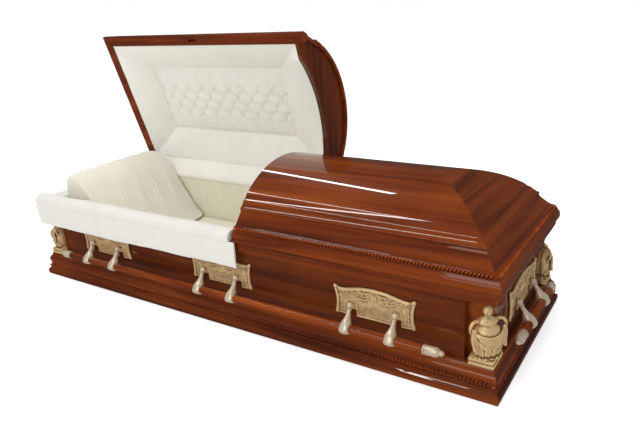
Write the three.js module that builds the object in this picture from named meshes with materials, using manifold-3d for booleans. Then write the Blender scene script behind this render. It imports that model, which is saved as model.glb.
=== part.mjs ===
// A half-couch wooden funeral casket: head lid open, foot lid closed, cloth interior, swing-bar handles.
// Millimetres, +Z up. +X runs to the foot end, -Y is the front, the lids hinge along the back.
import * as THREE from 'three';
import { mergeVertices } from 'three/addons/utils/BufferGeometryUtils.js';
import Module from 'manifold-3d';

const wasm = await Module();
wasm.setup();

// Driving dimensions
const gap = 0.3;
const board = 19;
const base = { halfX: 1067, halfY: 356, top: 103 };
const floorBoard = 18;
const panel = { faceX: 1026.2, faceY: 315.5, bottom: floorBoard + gap, top: 302, endX: 951 };
const notch = { depth: 28.8, backing: 26 };
const topRail = { halfX: 1058, halfY: 338, bottom: 302.3, top: 347, width: 70 };
const lid = { halfX: 1063, halfY: 342, bottom: 349.5, seat: 403, frameWidth: 45, split: 93, splitGap: 1.5 };
const dome = { radius: 364, centre: 217, wall: 15 };
const header = { setBack: 11.5, archHalf: 235, archTop: 405 };
const hinge = { y: 346.5, z: 354, knuckle: 4.2, leaf: 0.8, reach: 300, openDegrees: 75.3 };
const lining = { edge: 354, panel: 430, borderY: 127, borderEnd: 127, borderSplit: 165, thickness: 10 };
const bed = { liningWidth: 14, top: 140, halfX: 970, halfY: 250 };
const handle = {
  pivotOut: 17.5, pivotZ: 202, reach: 74, restDegrees: 30,
  barRadius: 14, tipLength: 66, pairHalf: 81, plateSpacing: 649,
};
const plate = { halfWidth: 146, bottom: 160, corner: 252, archTop: 270, thickness: 6 };
const ornament = { legs: 78, plinthTop: 126, outerX: 1046, outerY: 335, centreX: 1012, centreY: 297 };

// Colours from the object: glossy mahogany, ivory cloth, antique gold castings and pale metal
const finishes = {
  mahogany: new THREE.MeshStandardMaterial({ color: 0x6b2a18, roughness: 0.2, metalness: 0 }),
  ivoryCloth: new THREE.MeshStandardMaterial({ color: 0xe4e2d8, roughness: 0.9, metalness: 0 }),
  antiqueGold: new THREE.MeshStandardMaterial({ color: 0xb8955a, roughness: 0.45, metalness: 0.9 }),
  paleMetal: new THREE.MeshStandardMaterial({ color: 0xc9c4b0, roughness: 0.3, metalness: 0.9 }),
  hingeSteel: new THREE.MeshStandardMaterial({ color: 0xa8a59c, roughness: 0.4, metalness: 0.9 }),
};

const radians = THREE.MathUtils.degToRad;

// A closed mesh from points and triangles, with zero-area triangles left out
function meshOf(points, triangles) {
  const corner = points.map((p) => new THREE.Vector3(...p));
  const edgeA = new THREE.Vector3();
  const edgeB = new THREE.Vector3();
  const kept = triangles.filter(([a, b, c]) => {
    edgeA.subVectors(corner[b], corner[a]);
    edgeB.subVectors(corner[c], corner[a]);
    return edgeA.cross(edgeB).length() > 1e-6;
  });
  const geometry = new THREE.BufferGeometry();
  geometry.setAttribute('position', new THREE.Float32BufferAttribute(points.flat(), 3));
  geometry.setIndex(kept.flat());
  return mergeVertices(geometry, 1e-3);
}

// Booleans
function solid(geometry) {
  const bare = geometry.clone();
  bare.deleteAttribute('normal');
  bare.deleteAttribute('uv');
  const merged = mergeVertices(bare, 1e-3);
  return new wasm.Manifold(new wasm.Mesh({
    numProp: 3,
    vertProperties: new Float32Array(merged.attributes.position.array),
    triVerts: Uint32Array.from(merged.index.array),
  }));
}

function geometryOf(body) {
  const mesh = body.getMesh();
  const geometry = new THREE.BufferGeometry();
  geometry.setAttribute('position', new THREE.BufferAttribute(new Float32Array(mesh.vertProperties), 3));
  geometry.setIndex(new THREE.BufferAttribute(new Uint32Array(mesh.triVerts), 1));
  return geometry;
}

function join(bodies) {
  return bodies.reduce((sum, body) => sum.add(body));
}

function block(x0, x1, y0, y1, z0, z1) {
  const geometry = new THREE.BoxGeometry(x1 - x0, y1 - y0, z1 - z0);
  return geometry.translate((x0 + x1) / 2, (y0 + y1) / 2, (z0 + z1) / 2);
}

// An outline of [x, y] points, extruded along +Z from z0 to z1
function prism(outline, z0, z1) {
  const shape = new THREE.Shape(outline.map(([x, y]) => new THREE.Vector2(x, y)));
  const geometry = new THREE.ExtrudeGeometry(shape, { depth: z1 - z0, bevelEnabled: false });
  return geometry.translate(0, 0, z0);
}

// An outline of [y, z] points, extruded along +X from x0 to x1
function bar(outline, x0, x1) {
  const turn = new THREE.Matrix4().set(0, 0, 1, 0, 1, 0, 0, 0, 0, 1, 0, 0, 0, 0, 0, 1);
  return prism(outline, x0, x1).applyMatrix4(turn);
}

// An outline of [x, z] points, extruded from y0 towards -Y to y1
function slab(outline, y0, y1) {
  const turn = new THREE.Matrix4().set(1, 0, 0, 0, 0, 0, -1, 0, 0, 1, 0, 0, 0, 0, 0, 1);
  return prism(outline, -y0, -y1).applyMatrix4(turn);
}

function arc(cx, cy, radius, fromDegrees, toDegrees, steps) {
  return Array.from({ length: steps + 1 }, (_, i) => {
    const angle = radians(fromDegrees + ((toDegrees - fromDegrees) * i) / steps);
    return [cx + radius * Math.cos(angle), cy + radius * Math.sin(angle)];
  });
}

// Closed surfaces of revolution about Z from [radius, z] points
function turned(profile, sides) {
  const capped = [[0, profile[0][1]], ...profile, [0, profile.at(-1)[1]]];
  const upward = capped[0][1] < capped.at(-1)[1] ? capped : [...capped].reverse();
  const lathe = new THREE.LatheGeometry(upward.map(([r, z]) => new THREE.Vector2(r, z)), sides);
  return lathe.rotateX(Math.PI / 2);
}

// A mitred moulding: a closed profile of [inset, z] points carried through stations round a rectangle
function sweep(profile, stations, closed, ridgeInset = Infinity) {
  const area = profile.reduce((sum, [a, b], i) => {
    const [c, d] = profile[(i + 1) % profile.length];
    return sum + (a * d - c * b);
  }, 0);
  const ring = area > 0 ? [...profile].reverse() : profile;
  const points = stations.flatMap((at) => ring.map(([inset, z]) => at(inset, z)));
  const count = ring.length;
  const spans = closed ? stations.length : stations.length - 1;
  const triangles = [];
  for (let s = 0; s < spans; s += 1) {
    const a = s * count;
    const b = ((s + 1) % stations.length) * count;
    for (let i = 0; i < count; i += 1) {
      const j = (i + 1) % count;
      const onRidge = ring[i][0] >= ridgeInset && ring[j][0] >= ridgeInset;
      if (!onRidge) triangles.push([a + i, b + i, b + j], [a + i, b + j, a + j]);
    }
  }
  if (!closed) {
    const contour = ring.map(([inset, z]) => new THREE.Vector2(-inset, z));
    const last = (stations.length - 1) * count;
    for (const face of THREE.ShapeUtils.triangulateShape(contour, [])) {
      const [p, q, r] = face.map((i) => contour[i]);
      const turnsLeft = (q.x - p.x) * (r.y - p.y) - (q.y - p.y) * (r.x - p.x) > 0;
      const [i, j, k] = turnsLeft ? face : [face[0], face[2], face[1]];
      triangles.push([i, j, k], [last + i, last + k, last + j]);
    }
  }
  return meshOf(points, triangles);
}

function ringStations(halfX, halfY) {
  const corners = [[-1, -1], [1, -1], [1, 1], [-1, 1]];
  return corners.map(([sx, sy]) => (inset, z) => [sx * (halfX - inset), sy * (halfY - inset), z]);
}

// Stations of a lid: from the split round one end and back, end is -1 for the head and 1 for the foot
function lidStations(end) {
  const splitX = lid.split + end * lid.splitGap;
  const far = (inset) => end * (lid.halfX - inset);
  const side = (inset) => end * (lid.halfY - inset);
  return [
    (inset, z) => [splitX, -side(inset), z],
    (inset, z) => [far(inset), -side(inset), z],
    (inset, z) => [far(inset), side(inset), z],
    (inset, z) => [splitX, side(inset), z],
  ];
}

const root = new THREE.Group();

function place(name, geometry, finish, parent = root) {
  const mesh = new THREE.Mesh(geometry, finishes[finish]);
  mesh.name = name;
  parent.add(mesh);
  return mesh;
}

// Base moulding: a mitred frame of stepped board, bead, carved band and cove
const baseProfile = [
  [0, 0], [-4, 8], [-5, 18], [-3, 27], [3, 31], [5, 37], [2, 42], [3, 47], [9, 51], [10, 62], [7, 66],
  [8, 76], [12, 85], [18, 91], [18, 97], [22, base.top], [base.halfY - panel.faceY - gap, base.top],
  [base.halfY - panel.faceY - gap, 0],
];
place('base_moulding', sweep(baseProfile, ringStations(base.halfX, base.halfY), true), 'mahogany');

// Rail moulding round the top of the box
const railProfile = [
  [16, topRail.bottom], [13, 306], [12, 317], [7, 320], [6, 336], [2, 340], [0, 343], [0, topRail.top],
  [topRail.width, topRail.top], [topRail.width, topRail.bottom],
];
place('top_moulding', sweep(railProfile, ringStations(topRail.halfX, topRail.halfY), true), 'mahogany');

// Box walls and bottom
place('bottom_board', block(-panel.faceX, panel.faceX, -panel.faceY, panel.faceY, 0, floorBoard), 'mahogany');

function sidePanel(side) {
  const beadWidth = 10;
  const beadOut = 3.5;
  const wall = solid(block(-panel.endX, panel.endX, -panel.faceY, -panel.faceY + board, panel.bottom, panel.top));
  const beads = [-1, 1].map((end) => {
    const x = end * (panel.endX - beadWidth / 2);
    return solid(block(x - beadWidth / 2, x + beadWidth / 2, -panel.faceY - beadOut, -panel.faceY + 1,
      base.top + gap, panel.top));
  });
  const mesh = place(`${side}_panel`, geometryOf(join([wall, ...beads])), 'mahogany');
  mesh.rotation.z = side === 'front' ? 0 : Math.PI;
}
['front', 'back'].forEach(sidePanel);

// Each end wall turns round into the two recessed corners, with a ledge under each ornament
function endPanel(end) {
  const outer = panel.faceX;
  const inner = outer - board;
  const recess = panel.faceY - notch.depth;
  const inside = recess - board;
  const lapEnd = panel.endX - notch.backing;
  const lapFace = panel.faceY - board - gap;
  const face = panel.endX + gap;
  const groove = 2;
  const half = [
    [outer, 0], [outer, 188], [outer - groove, 190], [outer, 192], [outer, 229], [outer - groove, 231],
    [outer, 233], [outer, recess], [face, recess], [face, lapFace], [lapEnd, lapFace], [lapEnd, inside],
    [inner, inside], [inner, 0],
  ];
  const otherHalf = [...half].reverse().slice(1, -1).map(([x, y]) => [x, -y]);
  const wall = solid(prism([...half, ...otherHalf], panel.bottom, panel.top));
  const ledges = [-1, 1].map((side) => {
    const y0 = Math.min(side * (recess - 1), side * (panel.faceY - gap));
    const y1 = Math.max(side * (recess - 1), side * (panel.faceY - gap));
    return solid(block(face, outer, y0, y1, panel.bottom, base.top));
  });
  const mesh = place(`${end}_end_panel`, geometryOf(join([wall, ...ledges])), 'mahogany');
  mesh.rotation.z = end === 'foot' ? 0 : Math.PI;
}
['head', 'foot'].forEach(endPanel);

// Lids: a frame of moulding with an arched header board at the split, under a domed crown
const frameProfile = [
  [0, lid.bottom], [1.5, 371], [5, 375], [8, 377], [16, 392], [21, 399], [31, lid.seat],
  [lid.frameWidth, lid.seat], [lid.frameWidth, lid.bottom],
];
const domeHeight = (y, radius) => dome.centre + Math.sqrt(radius * radius - y * y);
const innerRadius = dome.radius - dome.wall;
const innerStations = [50, 100, 150, 195, 232];
const crownSeat = lid.seat + gap;
const crownOuter = [
  [311, crownSeat], [275, 445], [279, 449], [279, 454], [271, 458], [264, 466], [253, 479],
  ...[236, 212, 186, 158, 128, 96, 64, 32, 0].map((y) => [y, domeHeight(y, dome.radius)]),
];
const crownInner = [
  ...[0, ...innerStations].map((y) => [y, domeHeight(y, innerRadius)]),
  [250, 455], [261, 440], [293, crownSeat],
];
const crownProfile = [...crownOuter, ...crownInner].map(([y, z]) => [lid.halfY - y, z]);

const archRadius = (header.archHalf ** 2 + (header.archTop - lid.bottom) ** 2) / (2 * (header.archTop - lid.bottom));
const archHeight = (y) => header.archTop - archRadius + Math.sqrt(archRadius * archRadius - y * y);

const archStations = [-1, -0.75, -0.5, -0.25, 0, 0.25, 0.5, 0.75, 1].map((t) => t * header.archHalf);

function mirrored(right, middle) {
  return [...right, middle, ...[...right].reverse().map(([y, z]) => [-y, z])];
}

// Header board: up inside the crown with a little clearance, and open below in an arch
function headerOutline() {
  const clear = 0.7;
  const frameInner = lid.halfY - lid.frameWidth;
  const rise = [[frameInner + 5, lid.bottom], [frameInner + 5, lid.seat], [293 - clear, lid.seat],
    [261 - clear, 440 - clear], [250 - clear, 455 - clear]];
  const top = [...innerStations].reverse().map((y) => [y - clear / 2, domeHeight(y, innerRadius) - clear]);
  const arch = archStations.map((y) => [y, archHeight(y)]);
  return [...mirrored([...rise, ...top], [0, domeHeight(0, innerRadius) - clear]), ...arch];
}

const headerFace = (end) => lid.split + end * (lid.splitGap + header.setBack);

function lidFrame(end) {
  const frame = solid(sweep(frameProfile, lidStations(end), false));
  const face = headerFace(end);
  const boardGeometry = bar(headerOutline(), Math.min(face, face + end * board), Math.max(face, face + end * board));
  return geometryOf(frame.add(solid(boardGeometry)));
}

function lidCrown(end) {
  return sweep(crownProfile, lidStations(end), false, lid.halfY);
}

// The lining of a lid: a padded dish with four sloping borders, mitred at the corners, round a flat panel
const liningEdgeY = lid.halfY - lid.frameWidth - 0.6;
const liningEdgeX = lid.halfX - lid.frameWidth - 0.6;

function liningHeight(fromEnd, fromSplit, y) {
  const rise = lining.panel - lining.edge;
  const ramp = (distance, width) => Math.min(distance / width, 1);
  const side = lining.edge + rise * ramp(liningEdgeY - Math.abs(y), lining.borderY);
  const farEnd = lining.edge + rise * ramp(fromEnd, lining.borderEnd);
  const arch = Math.abs(y) < header.archHalf ? Math.max(archHeight(y), lining.edge) : lining.edge;
  const split = arch + (lining.panel - arch) * ramp(fromSplit, lining.borderSplit);
  return Math.min(side, farEnd, split);
}

function liningDish(end) {
  const start = headerFace(end) + end * (board + 0.6);
  const stop = end * liningEdgeX;
  const length = Math.abs(stop - start);
  const shoulder = liningEdgeY - header.archHalf;
  const half = [liningEdgeY, header.archHalf, liningEdgeY - lining.borderY];
  const across = [...half.map((y) => -y), 0, ...[...half].reverse()];
  const along = [0, lining.borderSplit, length - lining.borderEnd, length - shoulder, length];
  const points = [];
  for (const lift of [0, lining.thickness]) {
    for (const s of along) {
      for (const y of across) points.push([start + end * s, y, liningHeight(length - s, s, y) + lift]);
    }
  }
  const rows = along.length;
  const columns = across.length;
  const at = (layer, i, j) => (layer * rows + i) * columns + j;
  const triangles = [];
  const quad = (a, b, c, d) => {
    if (end > 0) triangles.push([a, b, c], [a, c, d]);
    else triangles.push([a, c, b], [a, d, c]);
  };
  for (let i = 0; i < rows - 1; i += 1) {
    for (let j = 0; j < columns - 1; j += 1) {
      const lower = [at(0, i, j), at(0, i, j + 1), at(0, i + 1, j + 1), at(0, i + 1, j)];
      const upper = [at(1, i, j), at(1, i + 1, j), at(1, i + 1, j + 1), at(1, i, j + 1)];
      const left = across[j] < 0;
      const mitreFallsBack = i === 0 ? !left : left;
      const ordered = (corners) => (mitreFallsBack ? [...corners.slice(1), corners[0]] : corners);
      quad(...ordered(lower));
      quad(...ordered(upper));
    }
    quad(at(0, i, 0), at(0, i + 1, 0), at(1, i + 1, 0), at(1, i, 0));
    quad(at(0, i, columns - 1), at(1, i, columns - 1), at(1, i + 1, columns - 1), at(0, i + 1, columns - 1));
  }
  for (let j = 0; j < columns - 1; j += 1) {
    quad(at(0, 0, j), at(1, 0, j), at(1, 0, j + 1), at(0, 0, j + 1));
    quad(at(0, rows - 1, j), at(0, rows - 1, j + 1), at(1, rows - 1, j + 1), at(1, rows - 1, j));
  }
  return meshOf(points, triangles);
}

// The foot lid's lining also wraps through its arch and pads the face of its header board
function headerPad() {
  const inner = lid.halfY - lid.frameWidth - 0.6;
  const rise = [[inner, lid.bottom + 3], [inner, lid.seat - 4], [284, lid.seat + 4], [246, 446]];
  const top = [216, 150, 75].map((y) => [y, domeHeight(y, innerRadius) - 12]);
  const arch = archStations.map((y) => [y * 0.95, Math.max(archHeight(y) - 8, lid.bottom + 3)]);
  return [...mirrored([...rise, ...top], [0, domeHeight(0, innerRadius) - 12]), ...arch];
}

function footLining() {
  const padFront = lid.split - lid.splitGap + gap;
  const pad = solid(bar(headerPad(), padFront, headerFace(1) - gap));
  const cloth = 7;
  const clear = 1;
  const reach = archStations.slice(1, -1);
  const outer = reach.map((y) => [y, archHeight(y) - clear]);
  const inner = [...reach].reverse().map((y) => [y, archHeight(y) - clear - cloth]);
  const sleeve = solid(bar([...outer, ...inner], padFront + 2, headerFace(1) + board + 40));
  return geometryOf(join([solid(liningDish(1)), pad, sleeve]));
}

// One hinge along the back: knuckles of the box leaf and of the two lid leaves take turns
const knuckleLength = 60;
const headKnuckles = [-960, -840, -480, -360, -60, 24];
const footKnuckles = [102, 222, 500, 620, 840, 960 - knuckleLength];
const knuckleOutline = arc(hinge.y, hinge.z, hinge.knuckle, 30, 330, 5);

function hingeLeaf(starts, plateZ, x0, x1, webStart) {
  const plateBody = solid(block(x0, x1, hinge.reach, webStart + 0.5, plateZ, plateZ + hinge.leaf));
  const knuckles = starts.flatMap((x) => [
    solid(bar(knuckleOutline, x, x + knuckleLength)),
    solid(bar([[webStart - 1, plateZ], [hinge.y, plateZ], [hinge.y + 1, hinge.z - 2], [hinge.y - 1.5, hinge.z - 2],
      [hinge.y - 2.2, plateZ + hinge.leaf], [webStart - 1, plateZ + hinge.leaf]], x, x + knuckleLength)),
  ]);
  return join([plateBody, ...knuckles]);
}

const boxKnuckles = [...headKnuckles, ...footKnuckles].filter((_, i) => i % 2 === 0);
const hingeEndX = 962;
place('box_hinge_leaf', geometryOf(hingeLeaf(boxKnuckles, topRail.top + gap, -hingeEndX, hingeEndX, 340)), 'hingeSteel');

function lidHingeLeaf(starts, x0, x1) {
  const shifted = starts.map((x) => x + gap);
  return geometryOf(hingeLeaf(shifted, lid.bottom - gap - hinge.leaf, x0, x1, 340));
}

// The lids' nodes; the head lid is turned open about the hinge
function lidGroup(openDegrees) {
  const turn = new THREE.Group();
  turn.position.set(0, hinge.y, hinge.z);
  turn.rotation.x = -radians(openDegrees);
  const inner = new THREE.Group();
  inner.position.set(0, -hinge.y, -hinge.z);
  turn.add(inner);
  root.add(turn);
  return inner;
}

const headLid = lidGroup(hinge.openDegrees);
place('head_lid_frame', lidFrame(-1), 'mahogany', headLid);
place('head_lid_crown', lidCrown(-1), 'mahogany', headLid);
place('head_lid_lining', liningDish(-1), 'ivoryCloth', headLid);
place('head_lid_hinge_leaf', lidHingeLeaf(headKnuckles.filter((_, i) => i % 2 === 1), -hingeEndX, 88), 'hingeSteel', headLid);

const footLid = lidGroup(0);
place('foot_lid_frame', lidFrame(1), 'mahogany', footLid);
place('foot_lid_crown', lidCrown(1), 'mahogany', footLid);
place('foot_lid_lining', footLining(), 'ivoryCloth', footLid);
place('foot_lid_hinge_leaf', lidHingeLeaf(footKnuckles.filter((_, i) => i % 2 === 1), 98, hingeEndX), 'hingeSteel', footLid);

// Cloth interior of the box
const boxLiningProfile = [
  [0, panel.bottom], [0, topRail.top - 1], [bed.liningWidth, topRail.top - 1], [bed.liningWidth, panel.bottom],
];
const boxLiningHalfX = topRail.halfX - topRail.width - 0.6;
const boxLiningHalfY = panel.faceY - notch.depth - board - gap;
place('box_lining', sweep(boxLiningProfile, ringStations(boxLiningHalfX, boxLiningHalfY), true), 'ivoryCloth');

const mattressRound = 14;
const mattressOutline = [
  [-bed.halfY + mattressRound, panel.bottom], [bed.halfY - mattressRound, panel.bottom],
  [bed.halfY, panel.bottom + mattressRound], [bed.halfY, bed.top - mattressRound],
  [bed.halfY - mattressRound, bed.top], [-bed.halfY + mattressRound, bed.top],
  [-bed.halfY, bed.top - mattressRound], [-bed.halfY, panel.bottom + mattressRound],
];
place('mattress', bar(mattressOutline, -bed.halfX, bed.halfX), 'ivoryCloth');

// The pillow leans on the head end: one side outline, drawn in towards both of its ends
function pillow() {
  const outline = [
    [-958, 144], [-972, 250], [-972, 430], [-945, 462], [-890, 456], [-830, 412],
    [-773, 342], [-715, 262], [-650, 178], [-615, 145],
  ];
  const middle = [-830, 290];
  const sections = [[-250, 0.84], [-238, 0.95], [-170, 1], [0, 1.01], [170, 1], [238, 0.95], [250, 0.84]];
  const points = sections.flatMap(([y, size]) => outline.map(([x, z]) => [
    Math.max(middle[0] + (x - middle[0]) * size, -972),
    y,
    Math.max(middle[1] + (z - middle[1]) * size, bed.top + 0.5),
  ]));
  const count = outline.length;
  const triangles = [];
  for (let s = 0; s < sections.length - 1; s += 1) {
    for (let i = 0; i < count; i += 1) {
      const j = (i + 1) % count;
      const a = s * count;
      const b = a + count;
      triangles.push([a + i, b + j, b + i], [a + i, a + j, b + j]);
    }
  }
  const contour = outline.map(([x, z]) => new THREE.Vector2(x, z));
  const last = (sections.length - 1) * count;
  for (const [i, j, k] of THREE.ShapeUtils.triangulateShape(contour, [])) {
    const turnsLeft = contour[j].clone().sub(contour[i]).cross(contour[k].clone().sub(contour[i])) > 0;
    const [b, c] = turnsLeft ? [j, k] : [k, j];
    triangles.push([i, b, c], [last + i, last + c, last + b]);
  }
  return meshOf(points, triangles);
}
place('pillow', pillow(), 'ivoryCloth');

// The overlay cloth: a soft roll on the rail and a drop outside it, round the front and the head end
function overlayCloth() {
  const outX = -1068;
  const outY = -352;
  const thick = 8;
  const bottom = 248;
  const dropEnd = 108;
  const rollEnd = 82;
  const cornerRadius = 14;
  const outerCorner = arc(outX + cornerRadius, outY + cornerRadius, cornerRadius, 180, 270, 4);
  const innerCorner = arc(outX + cornerRadius, outY + cornerRadius, cornerRadius - thick, 270, 180, 3);
  const plan = [[outX, 300], ...outerCorner, [dropEnd, outY], [dropEnd, outY + thick], ...innerCorner, [outX + thick, 300]];
  const skirt = solid(prism(plan, bottom, topRail.top + 6));
  const seat = topRail.top + gap;
  const cornerCut = outX + cornerRadius + 0.5;
  const frontRoll = [
    [-262, seat], [-266, 358], [-286, 374], [-310, 383], [-332, 383], [-346, 374], [outY, 358], [outY, seat],
  ];
  const headRoll = [[-975, seat], [-980, 353], [-1010, 358], [-1045, 358], [-1060, 354], [outX, 350], [outX, seat]];
  const front = solid(bar(frontRoll, cornerCut, rollEnd));
  const head = solid(slab(headRoll, 300, outY + cornerRadius + 0.5));
  const cornerFill = solid(prism([...outerCorner, [-975, outY], [-975, outY + 60], [outX, outY + 60]], seat, 358));
  return geometryOf(join([skirt, front, head, cornerFill]));
}
place('overlay_cloth', overlayCloth(), 'ivoryCloth');

// Handles: on each side of the box a frame that looks along -Y, turned to face out
const sides = {
  front: { turn: 0, face: panel.faceY, centres: [-1, 0, 1].map((i) => i * handle.plateSpacing), woodHalf: 842 },
  back: { turn: Math.PI, face: panel.faceY, centres: [-1, 0, 1].map((i) => i * handle.plateSpacing), woodHalf: 842 },
  head: { turn: -Math.PI / 2, face: panel.faceX, centres: [0], woodHalf: 155 },
  foot: { turn: Math.PI / 2, face: panel.faceX, centres: [0], woodHalf: 155 },
};

// Backing plate: arched top with corner knobs, hollowed sides, two slots for the arms, scroll relief
function plateBody() {
  const slotHalf = 16;
  const slotTop = handle.pivotZ;
  const slot = (x) => [[x - slotHalf, plate.bottom], ...arc(x, slotTop, slotHalf, 180, 0, 2), [x + slotHalf, plate.bottom]];
  const side = [[143, plate.bottom + 2], [137, 190], [138, 225], [plate.halfWidth, plate.corner],
    [plate.halfWidth - 6, 260], [126, plate.corner + 1], [60, 265]];
  const outline = [...slot(-handle.pairHalf), ...slot(handle.pairHalf), ...mirrored(side, [0, plate.archTop])];
  const front = -plate.thickness;
  const bodies = [solid(slab(outline, 0, front))];
  const leaf = (x, z, long, wide, degrees) => {
    const blade = new THREE.OctahedronGeometry(1).scale(long, 4, wide);
    bodies.push(solid(blade.rotateY(radians(degrees)).translate(x, front + 1, z)));
  };
  leaf(0, 238, 15, 15, 0);
  for (const mirror of [-1, 1]) {
    leaf(mirror * 42, 238, 24, 9, mirror * -16);
    leaf(mirror * 96, 237, 26, 9, mirror * 18);
    const x = mirror * handle.pairHalf;
    const lugHalf = 4;
    bodies.push(solid(block(x - slotHalf - 1, x + slotHalf + 1, -2, 0, slotTop - 18, slotTop + 12)));
    bodies.push(solid(block(x - lugHalf, x + lugHalf, -handle.pivotOut - 3.5, -1, slotTop - 5, slotTop + 5)));
  }
  return join(bodies);
}
const plateGeometry = geometryOf(plateBody());

// Swing arm: a ball head, slotted over the lug, a neck, and a bell that holds the bar
function armBody() {
  const sections = [[9, 6], [0, 11], [-15, 7], [-36, 8.5], [-60, 20.5], [-82, 20], [-92, 12]];
  const body = solid(turned(sections.map(([z, r]) => [r, z]), 6));
  const bore = arc(0, -handle.reach, handle.barRadius + 0.6, 22.5, 337.5, 7);
  const slotWidth = 9;
  const slot = block(-slotWidth / 2, slotWidth / 2, -6.5, 14, -11, 12);
  return body.subtract(solid(bar(bore, -30, 30))).subtract(solid(slot)).simplify(0.2);
}
const armGeometry = geometryOf(armBody());

function tipGeometry() {
  const profile = [[15.5, 0], [15, 34], [9, 56], [1, handle.tipLength]];
  return turned(profile, 8).rotateY(Math.PI / 2);
}

for (const [side, { turn, face, centres, woodHalf }] of Object.entries(sides)) {
  const facing = new THREE.Group();
  facing.rotation.z = turn;
  root.add(facing);
  centres.forEach((x, i) => {
    const name = centres.length > 1 ? `${side}_plate_${i + 1}` : `${side}_plate`;
    place(name, plateGeometry, 'antiqueGold', facing).position.set(x, -face - gap, 0);
  });
  const swing = new THREE.Group();
  swing.position.set(0, -face - handle.pivotOut, handle.pivotZ);
  swing.rotation.x = -radians(handle.restDegrees);
  facing.add(swing);
  const pivots = centres.flatMap((x) => [x - handle.pairHalf, x + handle.pairHalf]);
  pivots.forEach((x, i) => {
    place(`${side}_arm_${i + 1}`, armGeometry, 'paleMetal', swing).position.x = x;
  });
  const rod = arc(0, -handle.reach, handle.barRadius, 22.5, 337.5, 7);
  place(`${side}_bar`, bar(rod, -woodHalf, woodHalf), 'mahogany', swing);
  [-1, 1].forEach((end, i) => {
    const tip = place(`${side}_tip_${i + 1}`, tipGeometry(), 'paleMetal', swing);
    tip.position.set(end * (woodHalf + gap), 0, -handle.reach);
    tip.rotation.y = end < 0 ? Math.PI : 0;
  });
}

// Corner ornament: a draped urn among leaves on a corner plinth, facing out along the diagonal
function ornamentBody() {
  const urn = [
    [42, 120], [31, 138], [46, 168], [45, 197], [26, 226], [28, 242], [9, 260], [14, 275], [4, 289],
  ];
  const bodies = [solid(turned(urn, 7).scale(0.8, 1.04, 1))];
  for (const mirror of [-1, 1]) {
    const handleCurve = new THREE.CatmullRomCurve3([
      new THREE.Vector3(0, mirror * 20, 236), new THREE.Vector3(4, mirror * 54, 232),
      new THREE.Vector3(2, mirror * 40, 192),
    ]);
    bodies.push(tube(handleCurve, 7, 3, 4));
  }
  const swag = new THREE.CatmullRomCurve3([
    new THREE.Vector3(6, -56, 216), new THREE.Vector3(38, 0, 184), new THREE.Vector3(6, 56, 216),
  ]);
  bodies.push(tube(swag, 9, 4, 4));
  for (const degrees of [-62, 0, 62]) {
    const blade = new THREE.OctahedronGeometry(1).scale(7, 20, 28).rotateY(radians(16));
    blade.translate(31, 0, 150).rotateZ(radians(degrees));
    bodies.push(solid(blade.scale(0.85, 1.02, 1)));
  }
  return join(bodies);
}

function tube(curve, radius, steps, sidesCount) {
  const section = new THREE.Shape(arc(0, 0, radius, 0, 360 - 360 / sidesCount, sidesCount - 1)
    .map(([x, y]) => new THREE.Vector2(x, y)));
  return solid(new THREE.ExtrudeGeometry(section, { steps, bevelEnabled: false, extrudePath: curve }));
}

const ornamentShape = ornamentBody().simplify(1.5);

function cornerOrnament(name, signX, signY) {
  const facing = radians(Math.atan2(signY, signX) * (180 / Math.PI));
  const figure = solid(geometryOf(ornamentShape).rotateZ(facing)
    .translate(signX * ornament.centreX, signY * ornament.centreY, 0));
  const innerX = ornament.outerX - ornament.legs;
  const innerY = ornament.outerY - ornament.legs;
  const span = (a, b) => [Math.min(a, b), Math.max(a, b)];
  const [x0, x1] = span(signX * innerX, signX * ornament.outerX);
  const [y0, y1] = span(signY * innerY, signY * ornament.outerY);
  const plinth = solid(block(x0, x1, y0, y1, base.top + gap, ornament.plinthTop));
  const recessY = panel.faceY - notch.depth + gap;
  const [px0, px1] = span(signX * 800, signX * (panel.faceX + gap));
  const [py0, py1] = span(0, signY * recessY);
  const post = solid(block(px0, px1, py0, py1, 0, 400));
  const [sx0, sx1] = span(signX * 800, signX * (panel.endX + 2 * gap));
  const [sy0, sy1] = span(0, signY * 400);
  const sideWall = solid(block(sx0, sx1, sy0, sy1, 0, 400));
  place(name, geometryOf(plinth.add(figure).subtract(post).subtract(sideWall).simplify(0.1)), 'antiqueGold');
}
cornerOrnament('ornament_front_foot', 1, -1);
cornerOrnament('ornament_back_foot', 1, 1);
cornerOrnament('ornament_back_head', -1, 1);
cornerOrnament('ornament_front_head', -1, -1);

export default root;
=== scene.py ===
import math

import bmesh
import bpy
from bpy.props import FloatProperty, FloatVectorProperty, PointerProperty
from mathutils import Matrix, Vector


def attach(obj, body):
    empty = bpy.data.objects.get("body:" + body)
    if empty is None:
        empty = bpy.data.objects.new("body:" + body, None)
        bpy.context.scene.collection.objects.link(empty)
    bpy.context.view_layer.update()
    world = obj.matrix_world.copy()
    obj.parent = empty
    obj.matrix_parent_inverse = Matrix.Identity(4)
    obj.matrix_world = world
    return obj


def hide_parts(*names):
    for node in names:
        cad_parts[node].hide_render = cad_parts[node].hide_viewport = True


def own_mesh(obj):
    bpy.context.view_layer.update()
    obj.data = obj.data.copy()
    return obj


bl_info = {
    "name": "Half-couch casket",
    "version": (1, 0, 0),
    "blender": (4, 5, 0),
    "location": "View3D > Sidebar > Casket",
    "description": "Builds a mahogany casket with an open head lid, cloth interior and cast metal trim",
    "category": "Object",
}

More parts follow.
